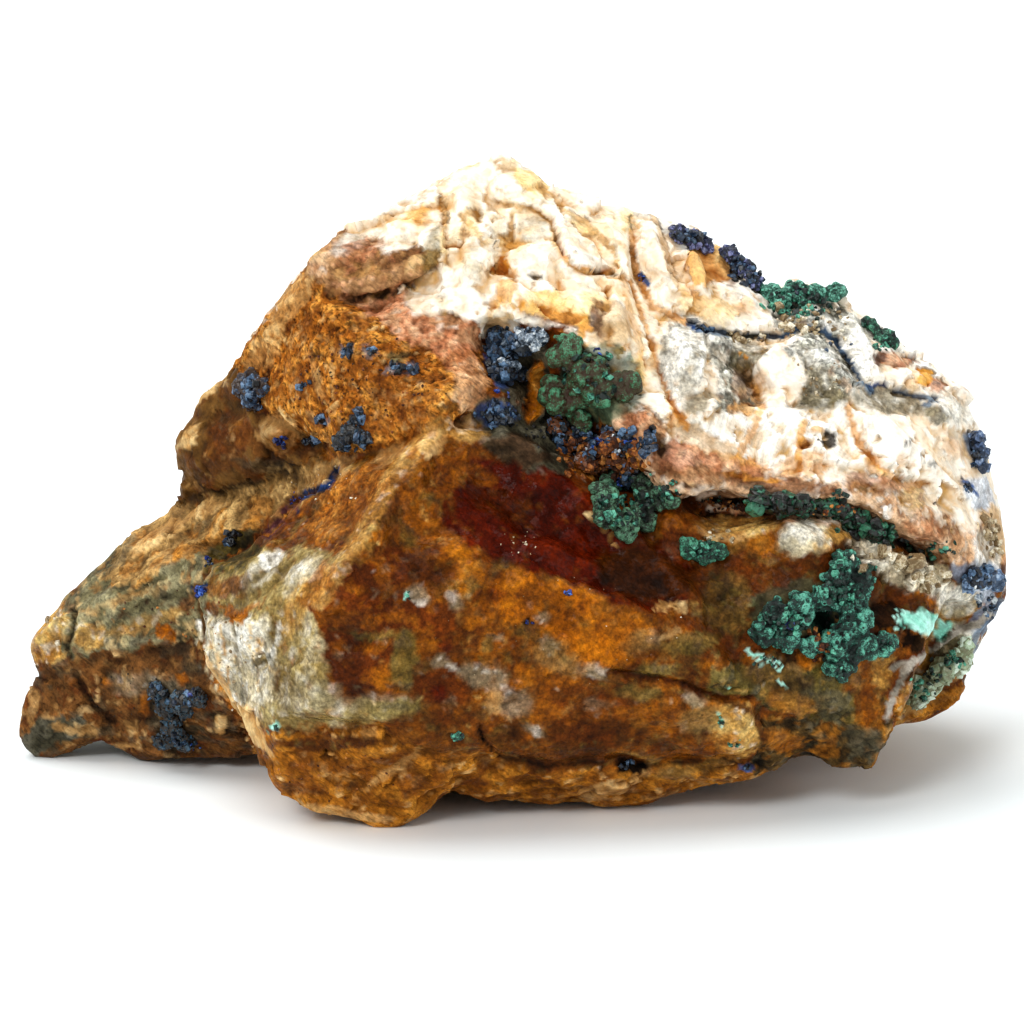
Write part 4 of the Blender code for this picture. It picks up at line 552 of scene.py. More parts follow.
# Lines of colour: finish, half width in mm, cover, points.
# The near black lines are painted shade in the cracks and along the seam.
LINES = [
    ("quartz_yellow", 0.9, 0.45, [(442, 420), (412, 450), (392, 475), (368, 520), (341, 563), (322, 598)]),
    ("tan", 0.12, 0.8, [(222, 622), (228, 660), (232, 690)]),
    ("quartz_grey", 0.15, 0.8, [(236, 618), (240, 660), (246, 702)]), ("tan", 0.12, 0.8, [(252, 620), (254, 645)]),
    ("quartz_grey", 0.12, 0.8, [(260, 668), (266, 702)]), ("tan", 0.15, 0.7, [(214, 640), (222, 668), (236, 700)]),
    ("orange", 0.2, 0.7, [(222, 600), (246, 606), (262, 600)]),
    ("turquoise", 0.12, 1.0, [(920, 612), (905, 607), (893, 607)]),
    ("turquoise", 0.12, 1.0, [(915, 615), (900, 612), (890, 613)]),
    ("turquoise", 0.15, 1.0, [(912, 620), (898, 619), (886, 620)]),
    ("turquoise", 0.12, 1.0, [(910, 625), (898, 625), (889, 623)]), ("turquoise", 0.1, 1.0, [(908, 617), (894, 616)]),
    ("turquoise", 0.15, 1.0, [(742, 646), (752, 653), (762, 660)]),
    ("turquoise", 0.15, 1.0, [(752, 648), (766, 657), (778, 668)]),
    ("turquoise", 0.12, 1.0, [(764, 650), (774, 655), (783, 664)]), ("turquoise", 0.1, 0.9, [(722, 680), (730, 684)]),
    ("turquoise", 0.08, 0.9, [(716, 708), (720, 716), (719, 724)]),
    ("turquoise", 0.08, 0.9, [(726, 738), (733, 736), (742, 744)]), ("turquoise", 0.1, 0.9, [(776, 677), (784, 682)]),
    ("turquoise", 0.08, 0.9, [(778, 704), (784, 707)]),
    ("gold", 0.35, 0.7, [(629, 230), (634, 255), (636, 273), (650, 302), (688, 321)]),
    ("gold", 0.25, 0.7, [(630, 280), (640, 310), (652, 350), (669, 396)]),
    ("gold", 0.35, 0.5, [(622, 275), (630, 310), (640, 345), (640, 390)]),
    ("tan", 0.3, 0.7, [(650, 205), (662, 240), (672, 275), (684, 292)]),
    ("tan", 0.3, 0.8, [(462, 214), (478, 228), (485, 242)]), ("tan", 0.2, 0.8, [(512, 208), (512, 238)]),
    ("tan", 0.25, 0.9, [(440, 195), (446, 215), (444, 240), (448, 262)]),
    ("gold", 0.25, 0.8, [(556, 240), (570, 262), (590, 269), (611, 268)]),
    ("hollow_shade", 0.15, 0.6, [(588, 268), (602, 272), (615, 273)]),
    ("tan", 0.25, 0.8, [(500, 200), (530, 206), (552, 222), (556, 240)]),
    ("tan", 0.3, 0.8, [(560, 205), (590, 222), (612, 250), (616, 262)]),
    ("hollow_shade", 0.12, 0.7, [(629, 214), (629, 224)]), ("blue", 0.3, 0.95, [(640, 272), (646, 280)]),
    ("blue_grey", 0.35, 0.95, [(688, 321), (700, 326), (715, 328), (740, 332), (773, 333)]),
    ("blue", 0.2, 0.9, [(692, 323), (712, 327)]),
    ("blue_grey", 0.32, 1.0, [(779, 333), (800, 325), (821, 328), (832, 335), (848, 358), (858, 376), (867, 387)]),
    ("blue", 0.2, 0.9, [(867, 382), (882, 382)]),
    ("blue_grey", 0.32, 0.9, [(892, 388), (908, 391), (932, 396), (922, 402)]),
    ("gold", 0.4, 0.8, [(668, 396), (676, 412), (684, 424)]),
    ("gold", 0.4, 0.7, [(760, 402), (748, 430), (738, 452)]),
    ("gold", 0.4, 0.8, [(802, 418), (796, 440), (796, 466)]),
    ("gold", 0.35, 0.7, [(846, 404), (856, 436), (874, 462), (893, 474)]),
    ("gold", 0.3, 0.6, [(724, 470), (745, 476), (775, 478)]),
    ("slate", 0.3, 0.9, [(727, 329), (745, 334), (762, 331)]),
    ("navy", 0.38, 1.0, [(337, 466), (330, 482), (310, 489), (296, 497)]),
    ("navy", 0.25, 1.0, [(292, 497), (300, 507)]), ("navy", 0.38, 1.0, [(288, 506), (280, 520), (268, 532)]),
    ("rust", 0.8, 0.7, [(296, 497), (284, 514), (262, 535)]),
    ("blue_grey", 0.4, 0.9, [(963, 432), (970, 448), (976, 460)]),
    ("blue", 0.25, 0.9, [(959, 478), (968, 482), (974, 492)]),
    ("blue_grey", 0.35, 0.8, [(997, 600), (985, 617), (973, 632), (969, 655), (966, 668)]),
    ("rust", 0.35, 0.9, [(975, 619), (955, 626), (935, 637), (918, 650), (905, 657), (888, 663)]),
    ("fin", 0.35, 1.0, [(985, 610), (975, 620), (955, 628), (935, 639), (918, 652), (905, 659), (890, 664)]),
    ("fin", 0.38, 1.0, [(914, 655), (903, 666), (896, 680), (888, 697), (883, 714)]),
    ("rust", 0.3, 0.9, [(609, 668), (640, 671), (680, 678), (700, 688), (718, 692), (751, 694)]),
    ("amber_dark", 0.35, 0.9, [(700, 690), (735, 700), (755, 712), (762, 735)]),
    ("hollow_shade", 0.15, 0.9, [(480, 724), (485, 738), (500, 752)]),
    ("hollow_shade", 0.2, 0.5, [(504, 752), (545, 760), (600, 756)]),
    ("hollow_shade", 0.2, 0.5, [(642, 762), (690, 756), (720, 754), (760, 760)]),
    ("hollow_shade", 0.3, 0.8, [(706, 497), (722, 500), (745, 497)]),
    ("hollow_shade", 0.15, 0.9, [(700, 509), (730, 512), (780, 508), (827, 514)]),
    ("hollow_shade", 0.4, 0.9, [(845, 522), (880, 530), (930, 556)]), ("feldspar_pink", 0.3, 0.8, [(705, 503), (738, 507)]),
    ("quartz_white", 0.2, 0.8, [(272, 650), (280, 630), (285, 612)]),
    ("tan", 0.3, 0.8, [(206, 650), (225, 683), (243, 712), (272, 748)]),
    ("hollow_shade", 0.2, 0.7, [(77, 606), (78, 622), (70, 640), (74, 652)]),
    ("hollow_shade", 0.15, 0.6, [(78, 668), (95, 700), (115, 718)]),
    ("hollow_shade", 0.2, 0.8, [(212, 710), (222, 708), (231, 716), (228, 726)]),
]

# Cracks and ridges in the relief: height in mm, half width in mm, points.
CREASES = [
    (-0.5, 0.6, [(480, 724), (485, 738), (500, 752)]), (-0.3, 0.8, [(504, 752), (545, 760), (600, 756)]),
    (-0.7, 1.0, [(611, 757), (642, 762)]), (-0.3, 0.8, [(642, 762), (690, 756), (720, 754), (760, 760)]),
    (-0.5, 0.6, [(609, 668), (640, 671), (680, 678), (700, 688), (718, 692), (751, 694)]),
    (-0.7, 0.6, [(337, 466), (330, 482), (310, 489), (291, 498), (284, 514), (269, 529)]),
    (-0.4, 0.7, [(779, 333), (800, 325), (821, 328), (832, 335), (848, 358), (858, 376), (867, 387)]),
    (-0.5, 0.6, [(688, 321), (715, 328), (740, 332), (773, 333)]), (-0.5, 0.6, [(892, 388), (908, 391), (932, 396)]),
    (-0.3, 0.6, [(629, 230), (636, 273), (650, 302), (688, 321)]), (-0.2, 0.5, [(630, 280), (652, 350), (669, 396)]),
    (-0.4, 0.7, [(344, 293), (357, 297), (384, 292), (409, 284), (426, 276)]), (-0.8, 0.6, [(264, 652), (266, 660)]),
    (-1.0, 0.7, [(798, 441), (806, 441)]), (-1.0, 0.7, [(824, 430), (826, 442)]),
    (-0.8, 0.5, [(535, 275), (536, 276)]), (-0.25, 0.5, [(440, 195), (446, 215), (444, 240), (448, 262)]),
    (-0.5, 0.5, [(556, 240), (570, 262), (590, 269), (611, 268)]), (0.4, 0.8, [(558, 236), (580, 246), (606, 258)]),
    (-0.3, 0.4, [(700, 509), (730, 512), (780, 508), (827, 514)]), (-0.5, 0.5, [(706, 496), (722, 500), (745, 497)]),
    (-0.5, 0.5, [(77, 606), (78, 622), (70, 640), (74, 652)]), (-0.4, 0.5, [(78, 668), (95, 700), (115, 718)]),
]

# Flat plates that stand out of the surface: rise in mm and corners.
PLATES = [
    (0.3, [(456, 208), (482, 206), (484, 238), (462, 240)]), (0.4, [(486, 206), (518, 205), (520, 240), (488, 241)]),
    (0.3, [(521, 207), (552, 212), (554, 240), (523, 241)]), (0.6, [(463, 244), (484, 243), (485, 282), (466, 283)]),
    (0.8, [(554, 240), (575, 240), (596, 250), (611, 266), (590, 268), (568, 260)]),
    (0.7, [(508, 250), (530, 243), (552, 256), (558, 280), (552, 302), (520, 298), (512, 275)]),
    (-0.7, [(494, 252), (506, 250), (508, 270), (498, 272)]),
    (0.6, [(489, 285), (503, 275), (519, 284), (517, 302), (498, 310)]),
    (0.4, [(476, 160), (506, 152), (524, 160), (540, 185), (500, 200), (470, 190)]),
    (0.5, [(420, 215), (440, 200), (446, 240), (430, 262), (418, 245)]),
    (0.4, [(388, 222), (415, 212), (420, 240), (398, 250)]),
    (0.4, [(440, 285), (470, 280), (486, 300), (470, 318), (444, 305)]),
    (0.5, [(560, 206), (590, 214), (612, 240), (596, 246), (566, 232)]),
    (0.4, [(600, 215), (628, 205), (634, 240), (618, 250)]),
    (0.6, [(640, 215), (652, 213), (664, 240), (668, 275), (646, 270), (638, 240)]),
    (0.5, [(560, 275), (590, 274), (606, 290), (600, 318), (575, 310)]),
    (0.5, [(608, 275), (630, 280), (640, 310), (636, 345), (612, 340)]),
    (0.6, [(660, 318), (700, 312), (706, 350), (700, 395), (668, 392), (656, 350)]),
    (0.4, [(706, 330), (730, 336), (728, 366), (708, 372)]),
    (0.4, [(775, 300), (830, 296), (848, 330), (800, 334), (780, 322)]),
    (0.5, [(775, 342), (840, 340), (850, 372), (838, 404), (790, 400)]),
    (0.4, [(748, 356), (774, 346), (798, 356), (800, 390), (784, 408), (758, 396)]),
    (0.7, [(834, 308), (850, 312), (868, 350), (874, 378), (858, 376), (840, 340)]),
    (0.8, [(862, 415), (900, 410), (924, 425), (918, 452), (880, 458), (862, 440)]),
    (0.5, [(912, 368), (926, 370), (929, 381), (914, 380)]), (0.4, [(876, 345), (892, 343), (898, 360), (884, 368)]),
    (0.2, [(210, 616), (234, 612), (246, 690), (222, 676)]), (0.35, [(237, 612), (256, 614), (266, 700), (249, 704)]),
    (0.2, [(259, 606), (274, 610), (276, 690), (268, 700)]), (0.3, [(222, 566), (268, 548), (284, 575), (240, 598)]),
    (0.3, [(777, 522), (826, 520), (830, 548), (786, 552)]),
    (1.8, [(530, 362), (542, 358), (546, 390), (540, 418), (527, 420)]),
]

# Small crystals and grains strewn on the surface. Kind: across, down, spread across and down, count, width in mm.
GRAINS = {
    "azurite": [
        (255, 388, 14, 12, 26, 0.85), (347, 347, 5, 5, 9, 0.95), (372, 348, 4, 3, 6, 0.8), (397, 364, 5, 4, 8, 0.75),
        (416, 366, 4, 4, 7, 0.75), (360, 414, 6, 5, 14, 0.9), (354, 441, 11, 9, 14, 0.8), (314, 437, 8, 4, 12, 0.8),
        (307, 382, 4, 4, 5, 0.7), (324, 417, 4, 4, 6, 0.8), (233, 533, 6, 5, 12, 0.9), (210, 558, 5, 4, 6, 0.6),
        (162, 692, 9, 12, 12, 0.6), (190, 694, 12, 7, 10, 0.6), (176, 732, 16, 8, 12, 0.6),
        (500, 350, 12, 20, 60, 0.9), (498, 412, 17, 10, 50, 0.9), (600, 440, 30, 14, 30, 0.9),
        (627, 476, 5, 5, 14, 0.8), (646, 436, 7, 12, 20, 0.85), (565, 432, 16, 8, 16, 0.8),
        (686, 233, 12, 4, 26, 0.8), (744, 268, 13, 12, 36, 0.75), (975, 572, 14, 8, 26, 0.8),
        (972, 450, 4, 12, 14, 0.7), (965, 484, 4, 4, 8, 0.6), (797, 287, 4, 3, 6, 0.6), (702, 326, 9, 1.5, 10, 0.45),
        (840, 345, 14, 14, 5, 0.4), (986, 604, 5, 10, 14, 0.6), (626, 759, 6, 3, 14, 0.5), (745, 762, 3, 2, 8, 0.45),
    ],
    "lapis": [
        (283, 437, 5, 4, 14, 0.6), (597, 440, 5, 4, 14, 0.6), (630, 436, 5, 5, 10, 0.6), (787, 621, 5, 2.5, 14, 0.5),
        (203, 586, 4, 4, 14, 0.5), (210, 556, 2, 2, 4, 0.4), (567, 588, 2.5, 2.5, 8, 0.4), (597, 346, 3, 3, 6, 0.45),
        (640, 276, 3, 4, 8, 0.35), (529, 618, 3, 2, 6, 0.35), (500, 395, 8, 8, 8, 0.6), (620, 478, 4, 4, 8, 0.5),
        (190, 688, 8, 4, 4, 0.5), (196, 742, 8, 4, 4, 0.5), (300, 494, 10, 5, 10, 0.3),
    ],
    "malachite": [
        (782, 618, 20, 12, 50, 0.7), (838, 590, 16, 11, 50, 0.7), (835, 560, 7, 9, 28, 0.75),
        (862, 567, 9, 4, 20, 0.7), (832, 657, 8, 14, 34, 0.65), (883, 642, 10, 6, 14, 0.55),
        (763, 656, 12, 5, 12, 0.4), (718, 715, 3, 3, 5, 0.4), (735, 738, 6, 4, 8, 0.4), (277, 722, 2, 2, 5, 0.4),
        (590, 372, 24, 22, 36, 0.7), (625, 502, 22, 17, 60, 0.65), (666, 486, 12, 9, 24, 0.6),
        (700, 546, 15, 6, 24, 0.6), (795, 300, 28, 12, 80, 0.65), (880, 340, 8, 6, 20, 0.6),
        (862, 320, 3, 3, 8, 0.55), (835, 492, 6, 5, 12, 0.55), (950, 657, 12, 6, 20, 0.6), (930, 670, 8, 6, 12, 0.6),
        (918, 686, 9, 8, 16, 0.6), (459, 732, 5, 4, 16, 0.5), (409, 591, 1.5, 4, 5, 0.35), (940, 540, 12, 6, 10, 0.5),
    ],
    "dark_malachite": [
        (762, 500, 10, 8, 12, 1.2), (787, 500, 10, 7, 8, 1.0), (812, 502, 8, 5, 8, 0.8), (838, 510, 6, 16, 12, 0.9),
        (866, 522, 18, 7, 14, 1.1), (895, 538, 12, 5, 8, 0.9), (920, 550, 14, 6, 10, 0.9), (945, 548, 10, 3, 6, 0.6),
        (725, 498, 22, 5, 10, 0.6),
    ],
    "frost": [
        (528, 334, 16, 9, 34, 0.9), (508, 352, 7, 10, 10, 0.8), (600, 442, 24, 10, 14, 0.7),
        (980, 590, 10, 14, 14, 0.8),
    ],
    # The pale quartz grains are partly small crystals and partly painted highlights: the fine ones strewn on the cap,
    # the plates, the tail's tip and the amber block stand for glints.
    "quartz": [
        (880, 556, 28, 10, 14, 1.2), (930, 575, 14, 12, 12, 1.2), (800, 320, 24, 12, 24, 0.8),
        (745, 335, 14, 5, 10, 0.8), (812, 316, 28, 13, 50, 0.45), (818, 372, 24, 18, 24, 0.4),
        (988, 528, 7, 20, 34, 0.9), (240, 650, 20, 28, 20, 0.4), (56, 625, 9, 12, 5, 0.5),
        (560, 620, 110, 50, 24, 0.14), (330, 480, 30, 16, 24, 0.25), (515, 540, 20, 10, 16, 0.2),
        (720, 532, 14, 6, 12, 0.45),
    ],
    "iron": [
        (600, 452, 36, 19, 120, 0.75), (360, 380, 55, 36, 120, 0.28), (720, 500, 24, 5, 30, 0.6),
        (800, 506, 50, 5, 20, 0.5), (815, 640, 10, 14, 20, 0.6), (180, 620, 50, 30, 30, 0.25),
        (340, 770, 55, 20, 40, 0.22),
    ],
    "black": [
        (350, 360, 40, 26, 40, 0.18), (780, 506, 60, 3, 24, 0.4), (560, 430, 30, 12, 40, 0.4),
        (130, 690, 40, 20, 24, 0.18), (830, 620, 30, 18, 40, 0.35),
    ],
}


def to_stretch(places, start, end):
    """The square of the distance in tenths of mm from places to the straight stretch between two points."""
    side, rest = end - start, places - start
    share = np.clip((rest @ side) / max(side @ side, 1e-9), 0, 1)
    gap = rest - share[:, None] * side
    return (gap * gap).sum(axis=1)


def inside(places, corners):
    """Signed distance in tenths of mm from a polygon's edge, above 0 inside: the least distance to its sides, with
    the sign of the number of sides crossed by a line to the right."""
    corner = np.array(corners, float)
    least = np.full(len(places), np.inf)
    crossed = np.zeros(len(places), bool)
    for a, b in zip(corner, np.roll(corner, -1, axis=0)):
        least = np.minimum(least, to_stretch(places, a, b))
        if a[1] != b[1]:
            between = (a[1] > places[:, 1]) != (b[1] > places[:, 1])
            crossed ^= between & (places[:, 0] < a[0] + (places[:, 1] - a[1]) / (b[1] - a[1]) * (b[0] - a[0]))
    return np.where(crossed, 1, -1) * np.sqrt(least)


def to_line(places, line):
    """Distance in tenths of mm to a line of points: the least over its stretches."""
    point = np.array(line, float)
    return np.sqrt(np.min([to_stretch(places, a, b) for a, b in zip(point[:-1], point[1:])], axis=0))


SIGHT_CELL = 5  # tenths of mm: the view's squares in which the nearest surface is looked up


def facing(points, normals):
    """How much of each point the front view sees, from 0 to 1: 1 on the nearest surface along the line of sight,
    fading to 0 by 9 mm behind it and where the surface turns away. Also the places in the view."""
    places, depth = in_view(points)
    count = math.ceil(10 * VIEW_WIDTH / SIGHT_CELL)
    column = np.clip((places / SIGHT_CELL).astype(int), 0, count)
    nearest = np.full((count + 1, count + 1), np.inf)
    np.minimum.at(nearest, (column[:, 0], column[:, 1]), depth)
    behind = depth - nearest[column[:, 0], column[:, 1]]
    towards = -(normals @ FORWARD)
    return (1 - smooth(behind, 5.0, 9.0)) * smooth(towards, -0.5, -0.1), places


def lay(shares, finish, cover):
    """Lets a finish cover a part of each point, over all that lies there."""
    shares *= (1 - cover)[:, None]
    shares[:, NAMES.index(finish)] += cover


def painted(points, normals, base):
    """The share of every finish at each point: the hidden sides by height and side, then the front view's areas,
    patches and lines in order. Their edges wander by noise of 3 mm and 1 mm and dissolve in noise of 0.75 mm, less
    where the mineral is clear, bladed or a film. `base` are the points before the relief, which the noise follows."""
    seen, places = facing(points, normals)
    shares = hidden_sides(base)
    wander = np.column_stack([noise(base, 3.2, 31 + k, 3) for k in range(2)])
    ripple = np.column_stack([noise(base, 0.9, 41 + k, 3) for k in range(2)])
    loose = places + wander * 8 + ripple * 5
    close = places + wander * 3 + ripple * 4
    dissolve = 0.30 * noise(base, 0.75, 45, 2)

    def paint(finish, cover, most=1.0):
        soft_kind = FINISHES[finish][4] in ("glass", "blades", "fibres", "film")
        blur, broken = (0.28, 0.4) if soft_kind else (0.12, 0.8)
        lay(shares, finish, most * smooth(cover + broken * dissolve, 0.5 - blur, 0.5 + blur) * seen)

    for finish, soft, corners in ZONES:
        paint(finish, smooth(inside(close if soft < 0.3 else loose, corners), -10 * soft, 10 * soft))
    mottle(shares, base, 80)
    for finish, across, down, wide, high, turn, soft, most in PATCHES:
        angle = math.radians(turn)
        x, y = (close - (across, down)).T
        far_along, far_across = x * math.cos(angle) + y * math.sin(angle), y * math.cos(angle) - x * math.sin(angle)
        radius = np.hypot(far_along / wide, far_across / high)
        edge = 10 * soft / min(wide, high)
        paint(finish, 1 - smooth(radius, 1 - min(edge, 0.9), 1 + edge), most)
    dissolve *= 0.3
    for finish, wide, most, line in LINES:
        paint(finish, 1 - smooth(to_line(places + wander * 1.5 + ripple * 1.5, line), 6 * wide, 13 * wide), most)
    mottle(shares, base, 180)
    return shares, seen, places


def mottle(shares, base, salt):
    """Breaks the finishes up: where noise of a row's width is over its level, its second finish takes the place of a
    part of its first."""
    for row, (under, over, size, level, most) in enumerate(MOTTLES):
        first, second = NAMES.index(under), NAMES.index(over)
        here = np.flatnonzero(shares[:, first] > 0.1)
        part = most * smooth(noise(base[here], size, salt + row, 3), level, level + 0.2) * shares[here, first]
        shares[here, first] -= part
        shares[here, second] += part


def hidden_sides(points):
    """Shares of the finishes away from the front view: white feldspar above a wandering line with a pink rim, amber
    quartz and ochre below it with yellow quartz to the right, and iron-stained brown on the left shoulder."""
    shares = np.zeros((len(points), len(NAMES)))
    x, _, z = points.T
    wander = noise(points, 14.0, 61, 4) * 7
    height = z + wander * 0.8 + 0.25 * x + 1.6 * noise(points, 1.6, 64, 4)
    above = smooth(height, 31, 32.5)
    rim = above * (1 - smooth(height + 2 * noise(points, 4.0, 65, 3), 34, 37))
    left = 1 - smooth(x + wander, -24, -16)
    tail = 1 - smooth(x + wander * 0.5, -38, -30)
    mix = smooth(noise(points, 9.0, 62, 4), -0.1, 0.25)
    spots = smooth(noise(points, 5.0, 63, 4), 0.25, 0.5)
    low = 1 - smooth(z + wander * 0.5, 8, 13)
    right = smooth(x + wander * 0.4, 34, 40)
    blush = smooth(noise(points, 3.0, 66, 3), 0.0, 0.3)
    for finish, cover in (
        ("amber", 1 + 0 * x), ("rust", mix * 0.9), ("quartz_yellow", spots * 0.8), ("ochre", low),
        ("quartz_yellow", right * 0.6), ("tan", right * spots * 0.6), ("feldspar_white", above),
        ("feldspar_cream", above * mix * 0.8), ("feldspar_pink", above * spots * 0.7), ("feldspar_pink", rim * 0.9),
        ("red_pink", rim * blush * 0.8), ("limonite", left), ("goethite", left * mix), ("grey_green", tail),
        ("red_brown", tail * mix),
    ):
        lay(shares, finish, cover)
    return shares


def colours_of(shares, base, hollow_shade):
    """Each point's colour, as linear red, green and blue: every finish runs from its dark to its light colour by
    noise of 2.4 mm and 0.7 mm and is darker in hollows and lighter on ridges, which is painted shade and painted
    light that also stands for iron stain in the cracks, and the shares mix the finishes."""
    tables = np.array([[linear(code) for code in row[:3]] for row in FINISHES.values()])
    kinds = kinds_of(shares)
    even = 1 - 0.6 * kinds["blades"] - 0.3 * kinds["glass"]
    tone = 0.5 + 0.26 * noise(base, 2.4, 51, 4) + 0.24 * even * noise(base, 0.7, 52, 3)
    tone = tone + (kinds["grain"] + 0.5 * kinds["sugar"]) * 0.3 * noise(base, 0.45, 53, 2)
    tone = np.clip(tone - hollow_shade * (1 - 0.3 * kinds["blades"] - 0.5 * kinds["glass"]), 0, 1)[:, None]
    light, middle, dark = (shares @ tables[:, k] for k in range(3))
    return np.where(tone > 0.5, middle + (light - middle) * (tone * 2 - 1), dark + (middle - dark) * tone * 2)


# ---------------------------------------------------------------- meshes
def arrays_of(mesh):
    """A mesh's points in mm, its triangles and its edges, as arrays."""
    mesh.calc_loop_triangles()
    points = np.empty(len(mesh.vertices) * 3)
    mesh.vertices.foreach_get("co", points)
    faces = np.empty(len(mesh.loop_triangles) * 3, np.int32)
    mesh.loop_triangles.foreach_get("vertices", faces)
    edges = np.empty(len(mesh.edges) * 2, np.int32)
    mesh.edges.foreach_get("vertices", edges)
    return points.reshape(-1, 3) / MM, faces.reshape(-1, 3), edges.reshape(-1, 2)


def sides_of(points, faces):
    """Each triangle's first corner, its sides from there to the other two, and the cross product of these."""
    a, b, c = (points[faces[:, k]] for k in range(3))
    return a, b - a, c - a, np.cross(b - a, c - a)


def normals_of(points, faces):
    """Unit normals at the points: the sum of the cross products of the triangles round each point."""
    cross = sides_of(points, faces)[3]
    total = np.column_stack([
        np.bincount(faces.ravel(), np.repeat(cross[:, axis], 3), len(points)) for axis in range(3)
    ])
    return total / np.maximum(np.linalg.norm(total, axis=1), 1e-12)[:, None]


def relaxed(values, edges, rounds, share=0.5):
    """Values moved `share` of the way to the mean of their neighbours, `rounds` times."""
    single = values.ndim == 1
    values = values[:, None] if single else values
    ends, others = np.concatenate([edges[:, 0], edges[:, 1]]), np.concatenate([edges[:, 1], edges[:, 0]])
    count = np.maximum(np.bincount(ends, minlength=len(values)), 1)
    for _ in range(rounds):
        mean = np.column_stack([
            np.bincount(ends, values[others, k], len(values)) / count for k in range(values.shape[1])
        ])
        values = values + share * (mean - values)
    return values[:, 0] if single else values


def hollows(points, edges, normals, rounds):
    """How many mm each point lies under its surroundings: the way to its place in the relaxed mesh, along the
    normal."""
    return np.einsum("ij,ij->i", relaxed(points, edges, rounds, 0.6) - points, normals)


def new_object(name, points, faces):
    """An object at the origin whose mesh has these points, in mm, and faces."""
    mesh = bpy.data.meshes.new(name)
    mesh.from_pydata((points * MM).tolist(), [], faces.tolist())
    mesh.update()
    obj = bpy.data.objects.new(name, mesh)
    bpy.context.scene.collection.objects.link(obj)
    return obj


def set_points(mesh, points):
    """Moves a mesh's points to places in mm."""
    mesh.vertices.foreach_set("co", (points * MM).ravel())
    mesh.update()


def kept_in_box(points):
    """Points in mm, moved where they stick out to just inside the box of the solids."""
    box = np.array(CAD_BOX) / MM
    return np.clip(points, box[0] + BOX_MARGIN, box[1] - BOX_MARGIN)


def add_attribute(mesh, name, kind, values):
    """Gives a mesh one value, colour or vector at each point, which its material reads by name."""
    layer = mesh.attributes.new(name, kind, "POINT")
    key = {"FLOAT": "value", "FLOAT_COLOR": "color", "FLOAT_VECTOR": "vector"}[kind]
    layer.data.foreach_set(key, np.ascontiguousarray(values, np.float32).ravel())


def applied(obj, kind, **settings):
    """Adds one modifier to an object and applies it to its mesh."""
    modifier = obj.modifiers.new(kind.lower(), kind)
    for key, value in settings.items():
        setattr(modifier, key, value)
    bpy.context.view_layer.update()
    graph = bpy.context.evaluated_depsgraph_get()
    mesh = bpy.data.meshes.new_from_object(obj.evaluated_get(graph))
    obj.modifiers.clear()
    old, obj.data = obj.data, mesh
    bpy.data.meshes.remove(old)
    mesh.name = obj.name


def merged(node):
    """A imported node's points in mm and triangles, with the doubles merged by rounding."""
    points, faces, _ = arrays_of(frame["nodes"][node].data)
    single, index = np.unique(np.round(points, 4), axis=0, return_inverse=True)
    faces = index.reshape(-1)[faces]
    whole = (faces[:, 0] != faces[:, 1]) & (faces[:, 1] != faces[:, 2]) & (faces[:, 0] != faces[:, 2])
    return single, faces[whole]


# ---------------------------------------------------------------- materials
def node(tree, kind, inputs, output=0, **settings):
    """Adds a node and gives one of its outputs. Inputs are a list in the order of the sockets, or a dict by their
    names or numbers: another node's output is linked, and any other value is set. Settings are the node's own."""
    made = tree.nodes.new(kind)
    for key, value in settings.items():
        setattr(made, key, value)
    for key, value in inputs.items() if isinstance(inputs, dict) else enumerate(inputs):
        if isinstance(value, bpy.types.NodeSocket):
            tree.links.new(value, made.inputs[key])
        else:
            made.inputs[key].default_value = value
    return made.outputs[output]


def new_material(name, **sockets):
    """A material with one Principled shader; sockets are set by name, with _ for a space."""
    made = bpy.data.materials.new(name)
    made.use_nodes = True
    shader = made.node_tree.nodes["Principled BSDF"]
    for key, value in sockets.items():
        shader.inputs[key.replace("_", " ")].default_value = value
    return made, made.node_tree, shader


def facet_nodes(tree, place, size):
    """Nodes for broken flat faces about `size` mm wide: each cell's plane leans its own way, so its height is the
    offset from the cell's seed times its lean. Gives the height in metres and a random colour of each cell."""
    seed = node(tree, "ShaderNodeTexVoronoi", {"Vector": place, "Scale": 1 / (size * MM)}, "Position")
    draw = seed.node.outputs["Color"]
    offset = node(tree, "ShaderNodeVectorMath", [place, seed], operation="SUBTRACT")
    lean = node(tree, "ShaderNodeVectorMath", [draw, (0.5, 0.5, 0.5)], operation="SUBTRACT")
    return node(tree, "ShaderNodeVectorMath", [offset, lean], "Value", operation="DOT_PRODUCT"), draw


